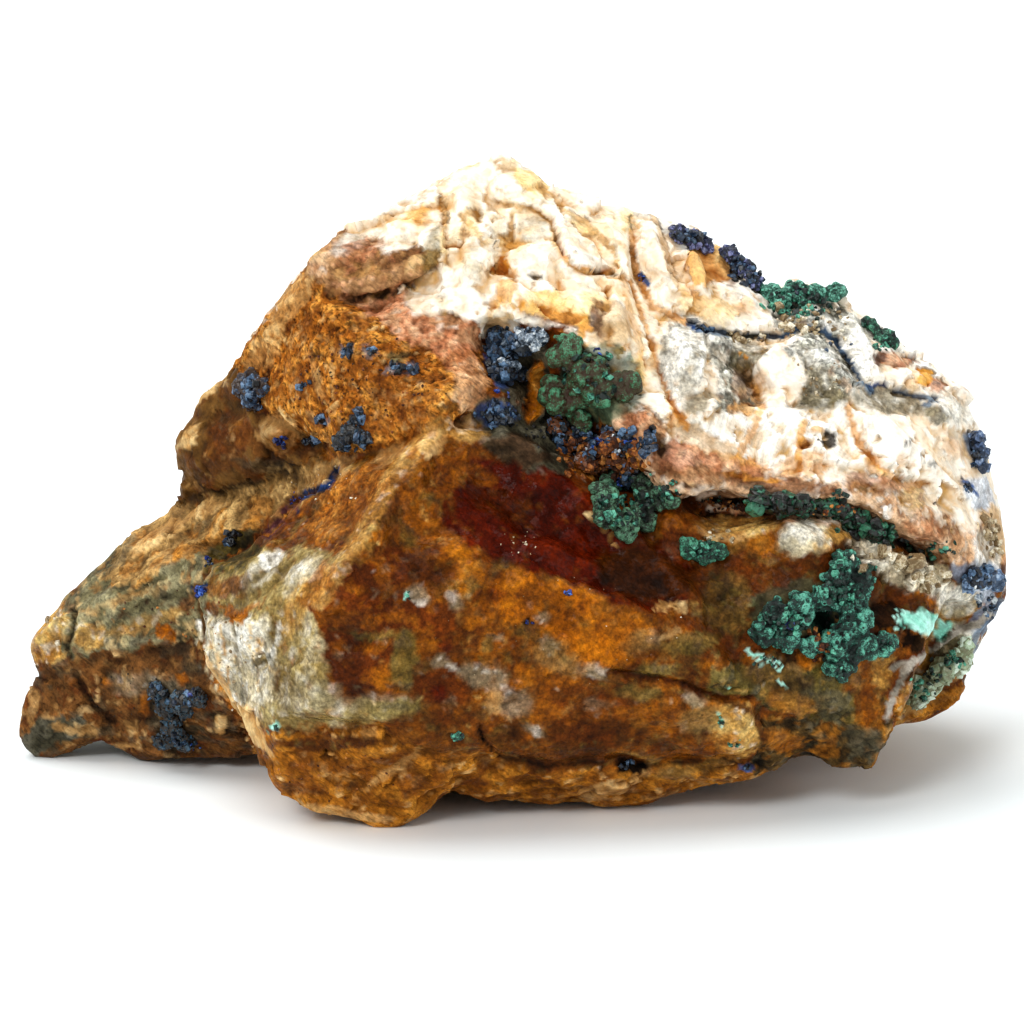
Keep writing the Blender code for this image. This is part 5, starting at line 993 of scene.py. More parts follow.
def rock_material():
    """Broken vein rock: glassy quartz, white feldspar and earthy iron oxide. The piece's own attributes carry the
    colour, gloss and habit of each mineral. Small flat faces give the broken look, iron stains the feldspar blades,
    fibres fan out in the sheaves, darkened small holes, painted shade, make the iron oxide spongy and fine clouds lie
    in the quartz."""
    made, tree, shader = new_material("vein_rock", IOR=1.54, Specular_IOR_Level=0.06)
    place = node(tree, "ShaderNodeTexCoord", [], "Object")
    mineral = node(tree, "ShaderNodeAttribute", [], "Color", attribute_name="colour")
    fan = node(tree, "ShaderNodeAttribute", [], "Vector", attribute_name="fan")
    rough, grain, facet, clear, sheaf, blades = [
        node(tree, "ShaderNodeAttribute", [], "Fac", attribute_name=name)
        for name in ("roughness", "grain", "facet", "clear", "fibres", "blades")
    ]

    # Grains of 0.4 mm, clouds of 1.4 mm, pits of 0.3 mm drawn out along the layers, and the strands of the sheaves.
    fine = node(tree, "ShaderNodeTexNoise", {"Vector": place, "Scale": 2600, "Detail": 2, "Roughness": 0.65})
    coarse = node(tree, "ShaderNodeTexNoise", {"Vector": place, "Scale": 700, "Detail": 2, "Roughness": 0.6})
    turned = node(tree, "ShaderNodeMapping", {"Vector": place, "Rotation": (0, math.radians(41), 0),
                                              "Scale": (2.8, 1, 1)}, vector_type="TEXTURE")
    spongy = node(tree, "ShaderNodeTexNoise", {"Vector": turned, "Scale": 3000, "Detail": 2, "Roughness": 0.6})
    strands = node(tree, "ShaderNodeTexNoise", {"Vector": fan, "Scale": 2.5, "Detail": 2, "Roughness": 0.6})

    # Flat faces of 1.6 and 0.55 mm, and blades 2.4 mm wide on coordinates that are drawn out and bent.
    large, large_draw = facet_nodes(tree, place, 1.6)
    small, small_draw = facet_nodes(tree, place, 0.55)
    bend = node(tree, "ShaderNodeTexNoise", {"Vector": place, "Scale": 260, "Detail": 1}, "Color")
    bend = node(tree, "ShaderNodeVectorMath", {0: bend, "Scale": 0.0022}, operation="SCALE")
    drawn_out = node(tree, "ShaderNodeMapping", {"Vector": place, "Rotation": (0.3, math.radians(62), 0),
                                                 "Scale": (2.4, 1, 1)}, vector_type="TEXTURE")
    slabs, slab_draw = facet_nodes(tree, node(tree, "ShaderNodeVectorMath", [drawn_out, bend], operation="ADD"), 2.4)
    small_tone = node(tree, "ShaderNodeSeparateColor", [small_draw], "Red")
    large_tone = node(tree, "ShaderNodeSeparateColor", [large_draw], "Green")
    slab_tone = node(tree, "ShaderNodeSeparateColor", [slab_draw], "Blue")

    # Shade: 1 plus each pattern's change, weighted by the share of the minerals that show it, all multiplied.
    # The spongy iron oxide is darker in its small holes: painted shade.
    pit_shade = node(tree, "ShaderNodeMapRange", [spongy, 0.34, 0.52, 0.25, 1.1])
    pit_shade = node(tree, "ShaderNodeMath", [node(tree, "ShaderNodeMapRange", [fine, 0.3, 0.7, 0.55, 1.4]), pit_shade, -1.0],
                operation="MULTIPLY_ADD")
    shade = node(tree, "ShaderNodeMath", [pit_shade, grain, 1.0], operation="MULTIPLY_ADD")
    for pattern, low, high, darkest, lightest, weight in (
        (small_tone, 0, 1, -0.45, 0.45, facet), (large_tone, 0, 1, -0.35, 0.25, facet),
        (strands, 0.3, 0.7, -0.24, 0.16, sheaf), (fine, 0.3, 0.7, -0.34, 0.34, clear),
    ):
        change = node(tree, "ShaderNodeMapRange", [pattern, low, high, darkest, lightest])
        change = node(tree, "ShaderNodeMath", [change, weight, 1.0], operation="MULTIPLY_ADD")
        shade = node(tree, "ShaderNodeMath", [shade, change], operation="MULTIPLY")
    colour = node(tree, "ShaderNodeMix", {0: 1.0, 6: mineral, 7: shade}, 2, data_type="RGBA", blend_type="MULTIPLY")

    # Some blades are creamy, and iron stains them here and there.
    for pattern, low, high, most, code in ((slab_tone, 0.5, 1, 0.35, "#e8c088"), (coarse, 0.54, 0.74, 0.45, "#d29a50")):
        share = node(tree, "ShaderNodeMapRange", [pattern, low, high, 0.0, most])
        share = node(tree, "ShaderNodeMath", [share, blades], operation="MULTIPLY")
        colour = node(tree, "ShaderNodeMix", {0: share, 6: colour, 7: (*linear(code), 1)}, 2, data_type="RGBA")
    tree.links.new(colour, shader.inputs["Base Color"])
    gloss = node(tree, "ShaderNodeMapRange", [coarse, 0.3, 0.7, -0.1, 0.14])
    gloss = node(tree, "ShaderNodeMath", [rough, gloss], operation="ADD")
    tree.links.new(gloss, shader.inputs["Roughness"])

    # Height in metres: each pattern, its weight and how high it stands for one of its own units.
    faces = node(tree, "ShaderNodeMath", [small, 0.9, large], operation="MULTIPLY_ADD")
    dust = node(tree, "ShaderNodeMath", [fine, spongy], operation="ADD")
    height = 0.0
    for pattern, weight, rise in (
        (faces, facet, 1.0), (slabs, blades, 0.55), (dust, grain, 0.00028), (strands, sheaf, 0.0002)
    ):
        rise = node(tree, "ShaderNodeMath", [weight, rise], operation="MULTIPLY")
        height = node(tree, "ShaderNodeMath", [pattern, rise, height], operation="MULTIPLY_ADD")
    bump = node(tree, "ShaderNodeBump", {"Height": height, "Strength": 1.0, "Distance": 1.0})
    tree.links.new(bump, shader.inputs["Normal"])
    return made


def stone_material(name, light, middle, dark, size, rough, lean, **sockets):
    """A mineral crust: three colours run from dark to light by the piece's own attribute, which on the ball crusts is
    painted shade in the hollows and painted light on the tops, and by noise as wide as its crystals, `size` in mm.
    `lean` is how much its small flat faces lean."""
    made, tree, shader = new_material(name, Roughness=rough, **sockets)
    place = node(tree, "ShaderNodeTexCoord", [], "Object")
    tone = node(tree, "ShaderNodeAttribute", [], "Fac", attribute_name="tone")
    fine = node(tree, "ShaderNodeTexNoise", {"Vector": place, "Scale": 1 / (size * MM), "Detail": 4})
    planes, draw = facet_nodes(tree, place, size * 2)
    draw = node(tree, "ShaderNodeSeparateColor", [draw], "Red")
    for pattern, low, high, change in ((fine, 0.3, 0.7, 0.28), (draw, 0, 1, 0.18)):
        change = node(tree, "ShaderNodeMapRange", [pattern, low, high, -change, change])
        tone = node(tree, "ShaderNodeMath", [tone, change], operation="ADD")
    ramp = node(tree, "ShaderNodeValToRGB", [tone])
    stops = ramp.node.color_ramp.elements
    stops[0].position, stops[0].color = 0.15, (*linear(dark), 1)
    stops[1].position, stops[1].color = 0.95, (*linear(light), 1)
    stops.new(0.55).color = (*linear(middle), 1)
    tree.links.new(ramp, shader.inputs["Base Color"])
    height = node(tree, "ShaderNodeMath", [planes, lean], operation="MULTIPLY")
    height = node(tree, "ShaderNodeMath", [fine, 0.00008, height], operation="MULTIPLY_ADD")
    bump = node(tree, "ShaderNodeBump", {"Height": height, "Strength": 1.0, "Distance": 1.0})
    tree.links.new(bump, shader.inputs["Normal"])
    return made


# ---------------------------------------------------------------- the rock
BLADE_SIZE = 4.4  # mm
BLADE_SHAPE = along((0.45, 0.3, -0.84), 2.0)
GRAIN_SHAPE = along((0.75, 0.0, -0.66), 2.6)
STREAK_SHAPE = along((0.93, 0.1, 0.34), 3.0)
LAYER_SHAPE = along((1.0, 0.0, 0.1), 4.0)
PLATE_LEAN = 0.012  # mm of rise for each tenth of a mm
PLATE_RISE = 0.55  # share of a plate's listed rise
PLATE_CALM = 0.5  # share of the other relief that a plate takes away
FOOT = (0.1, 1.2)  # mm over the floor: no relief below the first, all of it above the second
KEEP_LEVELS = 10  # steps from the front, which keeps its faces, to the hidden sides
SHARP_ANGLE = math.radians(40)


def kinds_of(shares):
    """The share of each kind of relief at each point."""
    rows = list(FINISHES.values())
    return {kind: sum(shares[:, i] for i, row in enumerate(rows) if row[4] == kind) for kind in RELIEFS}


def fibres(places):
    """Ridges, from -1 to 1, of fibres that run down the view and bend into sheaves: noise that changes quickly across
    them and slowly along them, on places pushed aside by noise of 6 mm. Also the bent places."""
    flat = np.column_stack([places, 0 * places[:, 0]])
    x, y = (places + 14 * np.column_stack([noise(flat, 60.0, 19 + k) for k in range(2)])).T
    fan = np.column_stack([(x + 0.5 * y) / 10, (y - 0.5 * x) / 60, 0 * x])
    return noise(fan, 1.0, 14, 2), fan


def relief_of(base, places, shares, seen):
    """Height in mm of the rock's own relief over its solid: each finish's kind of relief, weighted by its share, then
    the plates, which lean a little each its own way and are smoother than the rest."""
    kinds = kinds_of(shares)
    height = 0.22 * noise(base, 5.0, 1, 3)

    def add(kind, shape):
        here = np.flatnonzero(kinds[kind] > 0.02)
        height[here] += kinds[kind][here] * shape(base[here], places[here])

    add("blades", lambda p, q: facets(p, BLADE_SIZE, 0.15, 11, BLADE_SHAPE, 0.18, (0.7, 0, -0.7))
        + facets(p, 1.9, 0.10, 12, BLADE_SHAPE, 0.03, (0.5, 0, -0.5)))
    add("fibres", lambda p, q: 0.16 * fibres(q)[0] + facets(p, 3.0, 0.14, 16, step=0.12))
    add("grain", lambda p, q: 0.24 * noise(p @ GRAIN_SHAPE, 0.9, 21, 3) + grains(p, 0.7, 0.10, 22, GRAIN_SHAPE))
    add("sugar", lambda p, q: 0.16 * noise(p, 1.1, 37, 3) + grains(p, 0.8, 0.12, 38))
    add("glass", lambda p, q: 0.18 * noise(p, 3.6, 23, 2) + facets(p, 2.0, 0.10, 24, STREAK_SHAPE, step=0.02))
    add("spark", lambda p, q: 0.18 * noise(p, 3.6, 23, 2) + facets(p, 1.2, 0.25, 24, STREAK_SHAPE, step=0.05))
    add("crystal", lambda p, q: facets(p, 2.4, 0.7, 17, step=0.5) + facets(p, 1.2, 0.25, 18, step=0.1))
    add("earth", lambda p, q: 0.20 * noise(p @ STREAK_SHAPE, 1.6, 26, 3)
        + facets(p, 2.4, 0.15, 29, STREAK_SHAPE, step=0.06))
    add("smooth", lambda p, q: 0.06 * noise(p, 2.0, 30, 3) + facets(p, 4.0, 0.16, 33, step=0.1))
    add("layer", lambda p, q: 0.20 * noise(p @ LAYER_SHAPE, 1.4, 27, 3) + facets(p, 2.4, 0.16, 28, step=0.06))
    add("film", lambda p, q: 0.15 + 0.12 * noise(p, 0.8, 32, 3))
    lean = np.random.default_rng(7).uniform(-PLATE_LEAN, PLATE_LEAN, (len(PLATES), 2))
    wobble = np.column_stack([noise(base, 1.4, 34 + k, 2) for k in range(2)]) * 2.5
    for (rise, corners), slope in zip(PLATES, lean):
        cover = smooth(inside(places + wobble, corners), -1.0, 2.5) * seen
        top = rise * PLATE_RISE + (places - np.mean(corners, axis=0)) @ slope
        height += cover * (top - height * PLATE_CALM)
    return height


def make_rock(settings):
    """The host rock: the solid remeshed at a fine step, relaxed, raised by its relief along its normals, and
    thinned so that the front keeps the finest faces."""
    points, faces = merged("host_rock")
    rock = new_object("rock", points, faces)
    applied(rock, "REMESH", mode="VOXEL", voxel_size=settings.step)
    points, faces, edges = arrays_of(rock.data)
    base = relaxed(points, edges, 5)
    normals = normals_of(base, faces)
    shares, seen, places = painted(base, normals, base)
    height = relief_of(base, places, shares, seen)
    for rise, wide, line in CREASES:
        height += rise * (1 - smooth(to_line(places, line), 0, 10 * wide)) * seen
    foot = smooth(points[:, 2], *FOOT)
    set_points(rock.data, kept_in_box(base + normals * (height * foot)[:, None]))
    add_attribute(rock.data, "base", "FLOAT_VECTOR", base)
    hidden = rock.vertex_groups.new(name="hidden")
    level = np.round(np.clip(1 - seen, 1 / KEEP_LEVELS, 1) * KEEP_LEVELS).astype(int)
    for value in range(1, KEEP_LEVELS + 1):
        hidden.add(np.flatnonzero(level == value).tolist(), value / KEEP_LEVELS, "REPLACE")
    count = sum(len(f.vertices) - 2 for f in rock.data.polygons)
    applied(rock, "DECIMATE", ratio=min(1.0, settings.triangles / count), vertex_group="hidden",
            vertex_group_factor=settings.front_share)
    mesh = rock.data
    points, faces, edges = arrays_of(mesh)
    points = kept_in_box(points)
    set_points(mesh, points)
    base = np.empty(len(points) * 3)
    mesh.attributes["base"].data.foreach_get("vector", base)
    base = base.reshape(-1, 3)
    mesh.attributes.remove(mesh.attributes["base"])
    normals = normals_of(points, faces)
    shares, seen, places = painted(points, normals, base)
    # Hollows get painted shade, which also stands for stain in the cracks, and ridges get painted light.
    colours = colours_of(shares, base, np.clip(hollows(points, edges, normals, 14) * 1.8, -0.3, 0.7))
    kinds = kinds_of(shares)
    add_attribute(mesh, "colour", "FLOAT_COLOR", np.column_stack([colours, np.ones(len(points))]))
    add_attribute(mesh, "roughness", "FLOAT", shares @ np.array([row[3] for row in FINISHES.values()]))
    add_attribute(mesh, "grain", "FLOAT", sum(GRAINED[kind] * share for kind, share in kinds.items()))
    add_attribute(mesh, "facet", "FLOAT", sum(FACETED[kind] * share for kind, share in kinds.items()))
    add_attribute(mesh, "clear", "FLOAT", kinds["glass"] + kinds["crystal"] + kinds["spark"])
    for kind in ("blades", "fibres"):
        add_attribute(mesh, kind, "FLOAT", kinds[kind])
    add_attribute(mesh, "fan", "FLOAT_VECTOR", fibres(places)[1])
    mesh.polygons.foreach_set("use_smooth", np.ones(len(mesh.polygons), bool))
    mesh.set_sharp_from_angle(angle=SHARP_ANGLE)
    finish_piece(rock, "host_rock", rock_material())


# ---------------------------------------------------------------- crusts
# node: (mineral, habit, width of its balls or crystals in mm, dark, middle and light colour)
CRUSTS = {
    "malachite_front": ("malachite", "balls", 0.75, "#04100b", "#144034", "#66b49c"),
    "malachite_crown": ("malachite", "balls", 0.80, "#06140e", "#1c5644", "#82c8b0"),
    "malachite_ball": ("malachite", "balls", 0.60, "#04100a", "#143f2e", "#62a88a"),
    "malachite_pair": ("malachite", "balls", 0.60, "#071410", "#164834", "#549e80"),
    "malachite_ring": ("malachite", "balls", 0.75, "#080a04", "#222e1c", "#5c8a6c"),
    "malachite_flank": ("malachite", "crystals", 1.20, "#7e7e60", "#a6b898", "#e0ecdc"),
    "malachite_seam": ("malachite", "crystals", 1.00, "#120b05", "#14422e", "#42886a"),
    "malachite_heart": ("malachite", "balls", 1.50, "#3a200c", "#3a3c1e", "#4c8c68"),
    "azurite_crest_left": ("azurite", "crystals", 0.70, "#14182c", "#363c66", "#8a8ebc"),
    "azurite_crest_right": ("azurite", "crystals", 0.65, "#101428", "#2c345c", "#8086b2"),
    "azurite_heart": ("azurite", "crystals", 0.80, "#161a20", "#26384e", "#7088a4"),
    "azurite_pocket": ("azurite", "crystals", 0.80, "#743e14", "#4c3a30", "#6880a4"),
    "azurite_shoulder": ("azurite", "crystals", 0.80, "#382210", "#2c405a", "#7490b0"),
    "azurite_button": ("azurite", "crystals", 0.70, "#140d06", "#18222c", "#40566a"),
    "azurite_tail": ("azurite", "crystals", 0.60, "#281c10", "#20323c", "#38586e"),
    "azurite_flank": ("azurite", "crystals", 0.80, "#344860", "#6680a2", "#b2c6d8"),
    "azurite_edge": ("azurite", "crystals", 0.80, "#202c40", "#4e6488", "#a6b8cc"),
}


BALL_COVER = 2.0  # balls for each square of their width
CRYSTAL_COVER = 3.0  # crystals for each square of their width
CORE_SHRINK = 0.6  # mm that the solid shrinks by under its balls


def ball():
    """A unit ball of 42 points and 80 faces: an icosahedron with each edge's middle pushed out to the ball."""
    golden = (1 + 5**0.5) / 2
    corners = [(a * 1.0, b * golden, 0.0) for a in (-1, 1) for b in (-1, 1)]
    points = np.array([np.roll(c, k) for k in range(3) for c in corners])
    points /= np.linalg.norm(points, axis=1)[:, None]
    gaps = np.linalg.norm(points[:, None] - points, axis=2)
    side = gaps[gaps > 0.1].min() * 1.01
    near = (gaps > 0.1) & (gaps < side)
    faces = [(a, b, c) for a in range(12) for b in range(a + 1, 12) for c in range(b + 1, 12)
             if near[a, b] and near[b, c] and near[a, c]]
    middles, fine = {}, []
    points = list(points)

    def middle(a, b):
        key = (min(a, b), max(a, b))
        if key not in middles:
            middles[key] = len(points)
            point = points[a] + points[b]
            points.append(point / np.linalg.norm(point))
        return middles[key]

    for a, b, c in faces:
        if np.dot(np.cross(points[b] - points[a], points[c] - points[a]), points[a]) < 0:
            b, c = c, b
        ab, bc, ca = middle(a, b), middle(b, c), middle(c, a)
        fine += [(a, ab, ca), (b, bc, ab), (c, ca, bc), (ab, bc, ca)]
    return np.array(points), np.array(fine)


def crystal(sides, waist, tip, top):
    """A unit crystal along z: a prism of `sides` sides with half height `waist`, closed at each end by a flat face
    at height `tip` over a ring `top` times as wide."""
    turn = np.arange(sides) * 2 * math.pi / sides
    ring = np.column_stack([np.cos(turn), np.sin(turn), np.zeros(sides)])
    rings = [ring * (top, top, 1) - (0, 0, tip), ring - (0, 0, waist), ring + (0, 0, waist),
             ring * (top, top, 1) + (0, 0, tip)]
    points = np.concatenate(rings)
    faces = []
    for level in range(3):
        for k in range(sides):
            a, b = level * sides + k, level * sides + (k + 1) % sides
            faces += [(a, b, b + sides), (a, b + sides, a + sides)]
    for k in range(1, sides - 1):
        faces += [(0, k + 1, k), (3 * sides, 3 * sides + k, 3 * sides + k + 1)]
    return points, np.array(faces)


def scattered(shape, places, frames, sizes):
    """Copies of a shape as one set of points and faces: point = place + frame . (size * point)."""
    points, faces = shape
    placed = np.einsum("mij,mvj->mvi", frames, points[None] * sizes[:, None]) + places[:, None]
    steps = np.arange(len(places)) * len(points)
    return placed.reshape(-1, 3), (faces[None] + steps[:, None, None]).reshape(-1, 3)


def random_frames(rng, count, axes=None, spread=1.0):
    """Turned frames: z leans from the given axes by random amounts, and x is a random direction across it."""
    z = rng.normal(size=(count, 3)) * spread
    z = z if axes is None else z + axes
    z /= np.linalg.norm(z, axis=1)[:, None]
    x = np.cross(z, rng.normal(size=(count, 3)))
    x /= np.linalg.norm(x, axis=1)[:, None]
    return np.stack([x, np.cross(z, x), z], axis=2)


def on_surface(rng, points, faces, count):
    """Random places on a mesh, evenly by area, and the normals of their triangles."""
    corner, side, other, cross = sides_of(points, faces)
    area = np.linalg.norm(cross, axis=1)
    pick = rng.choice(len(faces), count, p=area / area.sum())
    u, v = rng.random((2, count))
    flip = u + v > 1
    u, v = np.where(flip, 1 - u, u)[:, None], np.where(flip, 1 - v, v)[:, None]
    return corner[pick] + side[pick] * u + other[pick] * v, (cross / np.maximum(area, 1e-9)[:, None])[pick]


def area_of(points, faces):
    """The area of a mesh in square mm: half the lengths of its triangles' cross products."""
    return np.linalg.norm(sides_of(points, faces)[3], axis=1).sum() / 2


def make_balls(name, row, settings):
    """A crust of balls: grape-like balls of many sizes over the shrunk solid, melted into one closed skin by a fine
    remesh, with smaller grains on every ball."""
    mineral, _, width, *colours = row
    rng = np.random.default_rng(sum(map(ord, name)))
    points, faces = merged(name)
    count = int(area_of(points, faces) / (width * width) * BALL_COVER)
    places, normals = on_surface(rng, points, faces, count)
    sizes = width * (0.2 + 0.55 * rng.random(count) ** 2.0)
    places = places - normals * (sizes * 0.3 + 0.35 * rng.random(count))[:, None]
    balls = scattered(ball(), places, random_frames(rng, count), np.repeat(sizes[:, None], 3, axis=1))
    core = points - normals_of(points, faces) * CORE_SHRINK
    joined = np.concatenate([core, balls[0]]), np.concatenate([faces, balls[1] + len(points)])
    obj = new_object(name.replace(mineral, COLOURS[mineral]), *joined)
    applied(obj, "REMESH", mode="VOXEL", voxel_size=settings.crust_step)
    mesh = obj.data
    points, faces, edges = arrays_of(mesh)
    points = relaxed(points, edges, 1)
    normals = normals_of(points, faces)
    points = points + normals * (0.22 * noise(points, 0.9, 72, 3) + grains(points, 0.42, 0.08, 71))[:, None]
    finish_crust(obj, points, edges, faces, settings)
    finish_piece(obj, name, stone_material(name + "_skin", *colours[::-1], 0.14, 0.55, 0.9, IOR=1.75,
                                                    Specular_IOR_Level=0.25))


def finish_crust(obj, points, edges, faces, settings):
    """Keeps a crust in the box, and gives it its tone: dark in the hollows, painted shade, and light on the tops,
    painted light.
    """
    points = kept_in_box(points)
    set_points(obj.data, points)
    hollow_shade = hollows(points, edges, normals_of(points, faces), 16)
    tone = 0.44 - hollow_shade * settings.contrast + 0.28 * noise(points, 2.5, 73, 3)
    add_attribute(obj.data, "tone", "FLOAT", np.clip(tone, 0, 1))
    obj.data.polygons.foreach_set("use_smooth", np.ones(len(obj.data.polygons), bool))


def make_crystals(name, row, _settings):
    """A crust of crystals: blocky crystals of many sizes that lean every way, set close together over the solid."""
    mineral, _, width, *colours = row
    rng = np.random.default_rng(sum(map(ord, name)))
    points, faces = merged(name)
    count = int(area_of(points, faces) / (width * width) * CRYSTAL_COVER)
    places, normals = on_surface(rng, points, faces, count)
    sizes = width * (0.18 + 0.62 * rng.random((count, 1)) ** 2.4) * (1, 0.8, 0.8)
    shape = crystal(4, 0.5, 0.72, 0.7)
    crystals = scattered(shape, places - normals * sizes * 0.35, random_frames(rng, count, normals, 1.0), sizes)
    patch = 0.30 * noise(places, 2.0, 74, 2)
    tone = np.concatenate([np.full(len(points), 0.1),
                           np.repeat(np.clip(0.15 + patch + 0.75 * rng.random(count) ** 1.4, 0, 1), len(shape[0]))])
    joined = np.concatenate([points, crystals[0]]), np.concatenate([faces, crystals[1] + len(points)])
    obj = new_object(name.replace(mineral, COLOURS[mineral]), kept_in_box(joined[0]), joined[1])
    add_attribute(obj.data, "tone", "FLOAT", tone)
    finish_piece(obj, name, stone_material(name + "_skin", *colours[::-1], 0.3, 0.35, 0.5, IOR=1.76,
                                                    Specular_IOR_Level=0.3))


COLOURS = {"malachite": "green", "azurite": "blue"}
HABITS = {"balls": make_balls, "crystals": make_crystals}


def make_crusts(mineral, settings):
    """All crusts of one mineral, each in its own habit."""
    for name, row in CRUSTS.items():
        if row[0] == mineral:
            HABITS[row[1]](name, row, settings)


# mineral: (slot, dark, middle and light colour, roughness, index of refraction)
STREWN = {
    "azurite": ("azurite", "#0c0e12", "#22344c", "#5a7896", 0.35, 1.76),
    "lapis": ("azurite", "#0a1440", "#1a3a90", "#4a78cc", 0.3, 1.76),
    "malachite": ("malachite", "#04160f", "#1b5241", "#68b89c", 0.5, 1.75),
    # The quartz grains are pale partly as painted highlights that stand for glints.
    "quartz": ("host_rock", "#80694a", "#bcaa88", "#f0e8d4", 0.15, 1.54),
    "frost": ("host_rock", "#2c3640", "#8793a0", "#e8ecec", 0.2, 1.54),
    "iron": ("host_rock", "#3c1c0a", "#86491a", "#c88844", 0.7, 1.6),
    "dark_malachite": ("malachite", "#0a0704", "#123826", "#387458", 0.35, 1.7),
    "black": ("host_rock", "#030202", "#0c0806", "#1f160e", 0.5, 1.6),
}


def make_grains(kind, row):
    """Loose-looking grains of one mineral, grown on the surface that the front view sees: each is set where the line
    of sight through a random place meets the rock or a crust, half sunk into it."""
    slot, dark, middle, light, rough, index = row
    rng = np.random.default_rng(sum(map(ord, kind)))
    whole = [arrays_of(obj.data)[:2] for obj in bpy.data.objects if obj.name.startswith(("rock", "green_", "blue_"))]
    starts = np.cumsum([0] + [len(points) for points, _ in whole[:-1]])
    tree = BVHTree.FromPolygons(np.concatenate([points for points, _ in whole]).tolist(),
                                np.concatenate([faces + start for (_, faces), start in zip(whole, starts)]).tolist())
    places, normals, sizes = [], [], []
    for across, down, wide, high, count, width in GRAINS[kind]:
        turn = rng.random(count) * 2 * math.pi
        reach = 1.15 * rng.random(count) ** 0.6 + 0.10 * rng.normal(size=count) ** 2
        spots = np.column_stack([np.cos(turn) * reach * wide, np.sin(turn) * reach * high]) + (across, down)
        for spot, draw in zip(spots, rng.random(count)):
            hit, normal, _, _ = tree.ray_cast(*view_ray(*spot))
            if hit:
                places.append(hit)
                normals.append(normal)
                sizes.append(width * (0.28 + 0.42 * draw**2))
    places, normals, sizes = np.array(places), np.array(normals), np.array(sizes)
    count = len(places)
    shape = crystal(4, 0.5, 0.75, 0.65)
    frames = random_frames(rng, count, normals, 0.9)
    stretch = np.column_stack([np.ones(count), 0.45 + 0.5 * rng.random(count), 0.8 + 0.9 * rng.random(count)])
    points, faces = scattered(shape, places, frames, stretch * sizes[:, None])
    obj = new_object(kind + "_grains", kept_in_box(points), faces)
    add_attribute(obj.data, "tone", "FLOAT", np.repeat(0.05 + 0.9 * rng.random(count) ** 1.3, len(shape[0])))
    finish_piece(obj, None, stone_material(kind + "_grain", light, middle, dark, 0.25, rough, 0.5, IOR=index,
                                                 Specular_IOR_Level=0.3))


def finish_piece(obj, name, material):
    """Gives a piece its material and body, and hides the solid that it stands for."""
    obj.data.materials.clear()
    obj.data.materials.append(material)
    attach(obj, "root")
    if name:
        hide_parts(name)


# ---------------------------------------------------------------- settings
class RockSettings(bpy.types.PropertyGroup):
    step: bpy.props.FloatProperty(name="Mesh step", description="Width of the cells that the rock is remeshed with",
                                  default=0.34 * MM, min=0.2 * MM, unit="LENGTH", precision=5)
    triangles: bpy.props.IntProperty(name="Triangles", description="Triangles left in the rock", default=196000)
    front_share: bpy.props.FloatProperty(name="Front first", description="How much the hidden sides give up first",
                                         default=0.0002, min=0, max=1, precision=6)


class CrustSettings(bpy.types.PropertyGroup):
    crust_step: bpy.props.FloatProperty(name="Crust step", default=0.17 * MM, min=0.1 * MM, unit="LENGTH", precision=5,
                                        description="Width of the cells that a crust is remeshed with")
    # How much painted shade darkens the hollows of a ball crust and painted light brightens its tops.
    contrast: bpy.props.FloatProperty(name="Contrast", description="How much darker the hollows of a crust are",
                                      default=2.0, min=0, max=9)


class StageSettings(bpy.types.PropertyGroup):
    floor: bpy.props.FloatVectorProperty(name="Floor", description="Colour of the floor", subtype="COLOR", size=3,
                                         default=linear("#f7fbfc"), min=0, max=1)
    light: bpy.props.FloatProperty(name="Main light", description="Strength of the main light", default=2.3,
                                   min=0, max=20)


class SPECIMEN_OT_rock(bpy.types.Operator):
    """Makes the host rock"""
    bl_idname = "specimen.rock"
    bl_label = "Host rock"

    def execute(self, context):
        make_rock(context.scene.specimen_rock)
        return {"FINISHED"}


class SPECIMEN_OT_malachite(bpy.types.Operator):
    """Makes the green crusts"""
    bl_idname = "specimen.malachite"
    bl_label = "Malachite crusts"

    def execute(self, context):
        make_crusts("malachite", context.scene.specimen_crusts)
        return {"FINISHED"}


class SPECIMEN_OT_azurite(bpy.types.Operator):
    """Makes the blue crusts"""
    bl_idname = "specimen.azurite"
    bl_label = "Azurite crusts"

    def execute(self, context):
        make_crusts("azurite", context.scene.specimen_crusts)
        return {"FINISHED"}


class SPECIMEN_OT_grains(bpy.types.Operator):
    """Strews the small crystals and grains"""
    bl_idname = "specimen.grains"
    bl_label = "Grains"

    def execute(self, context):
        for kind, row in STREWN.items():
            make_grains(kind, row)
        return {"FINISHED"}


class SPECIMEN_OT_stage(bpy.types.Operator):
    """Makes the floor, the lights and the camera"""
    bl_idname = "specimen.stage"
    bl_label = "Stage"

    def execute(self, context):
        make_stage(context.scene, context.scene.specimen_stage)
        return {"FINISHED"}


class SPECIMEN_PT_panel(bpy.types.Panel):
    """Lists the steps of the specimen"""
    bl_idname = "SPECIMEN_PT_panel"
    bl_label = "Azurite and malachite specimen"
    bl_space_type = "VIEW_3D"
    bl_region_type = "UI"
    bl_category = "Specimen"

    def draw(self, context):
        column = self.layout.column()
        for key, group in GROUPS.items():
            for name in group.__annotations__:
                column.prop(getattr(context.scene, key), name)
        for step in STEPS:
            column.operator(step.bl_idname)


def add_light(name, place, aim, power, angle, colour=(1, 1, 1)):
    """A far light that casts soft shadows, as a large lamp does: `angle` is its width in degrees."""
    light = bpy.data.lights.new(name, "SUN")
    light.energy, light.angle, light.color = power, math.radians(angle), colour
    obj = bpy.data.objects.new(name, light)
    bpy.context.scene.collection.objects.link(obj)
    obj.location = place
    obj.rotation_euler = (Vector(aim) - Vector(place)).to_track_quat("-Z", "Y").to_euler()


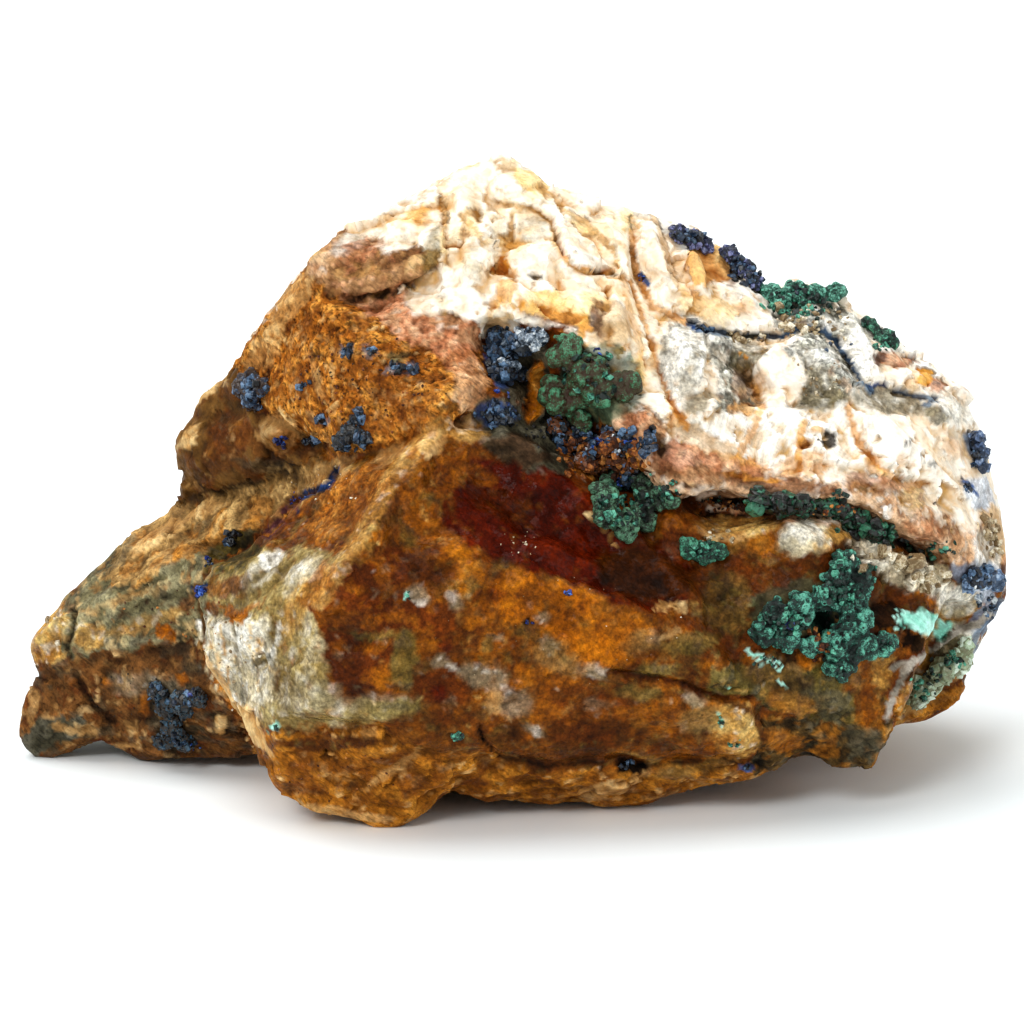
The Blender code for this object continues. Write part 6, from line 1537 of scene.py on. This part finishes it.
def make_stage(scene, settings):
    """A pale floor 6 m wide of matt paper, a large soft light above, smaller ones from the front left and the right,
    and a white world."""
    across = np.linspace(-3000, 3000, 9)
    x, y = np.meshgrid(across, across)
    points = np.column_stack([x.ravel(), y.ravel(), np.zeros(x.size)])
    cell = np.arange(x.size).reshape(x.shape)
    faces = np.stack([cell[:-1, :-1], cell[:-1, 1:], cell[1:, 1:], cell[1:, :-1]], axis=-1).reshape(-1, 4)
    floor = new_object("floor", points, faces)
    made, _, shader = new_material("pale_paper", Roughness=0.55)
    shader.inputs["Base Color"].default_value = (*settings.floor, 1)
    floor.data.materials.append(made)
    add_light("main_light", (-0.28, 0.16, 0.80), (0, 0, 0.03), settings.light, 60)
    add_light("front_light", (-0.30, -0.60, 0.55), (0, 0, 0.03), settings.light * 0.6, 20)
    add_light("right_light", (0.80, -0.30, 0.40), (0, 0, 0.03), settings.light * 0.3, 40)
    world = bpy.data.worlds.new("studio")
    world.use_nodes = True
    world.node_tree.nodes["Background"].inputs["Color"].default_value = (*linear("#f9feff"), 1)
    world.node_tree.nodes["Background"].inputs["Strength"].default_value = 0.58
    scene.world = world
    scene.view_settings.view_transform = "Standard"
    scene.view_settings.gamma = 0.9
    camera = bpy.data.cameras.new("front_view")
    camera.sensor_width = 36
    camera.lens = 36 * VIEW_DISTANCE / VIEW_WIDTH
    camera.clip_start = 0.01
    obj = bpy.data.objects.new("front_view", camera)
    scene.collection.objects.link(obj)
    obj.location = Vector((EYE - FIT_MIDDLE) * FIT_SCALE) * MM
    obj.rotation_euler = (math.pi / 2 - VIEW_ELEVATION, 0, 0)
    scene.camera = obj


STEPS = (SPECIMEN_OT_rock, SPECIMEN_OT_malachite, SPECIMEN_OT_azurite, SPECIMEN_OT_grains, SPECIMEN_OT_stage)
GROUPS = {"specimen_rock": RockSettings, "specimen_crusts": CrustSettings, "specimen_stage": StageSettings}


def register():
    for made in (*GROUPS.values(), *STEPS, SPECIMEN_PT_panel):
        bpy.utils.register_class(made)
    for name, group in GROUPS.items():
        setattr(bpy.types.Scene, name, bpy.props.PointerProperty(type=group))


def unregister():
    for name in GROUPS:
        delattr(bpy.types.Scene, name)
    for made in reversed((*GROUPS.values(), *STEPS, SPECIMEN_PT_panel)):
        bpy.utils.unregister_class(made)


def main():
    register()
    bpy.ops.specimen.rock()
    bpy.ops.specimen.malachite()
    bpy.ops.specimen.azurite()
    bpy.ops.specimen.grains()
    bpy.ops.specimen.stage()
    bpy.context.view_layer.update()


if __name__ == "__main__":
    main()
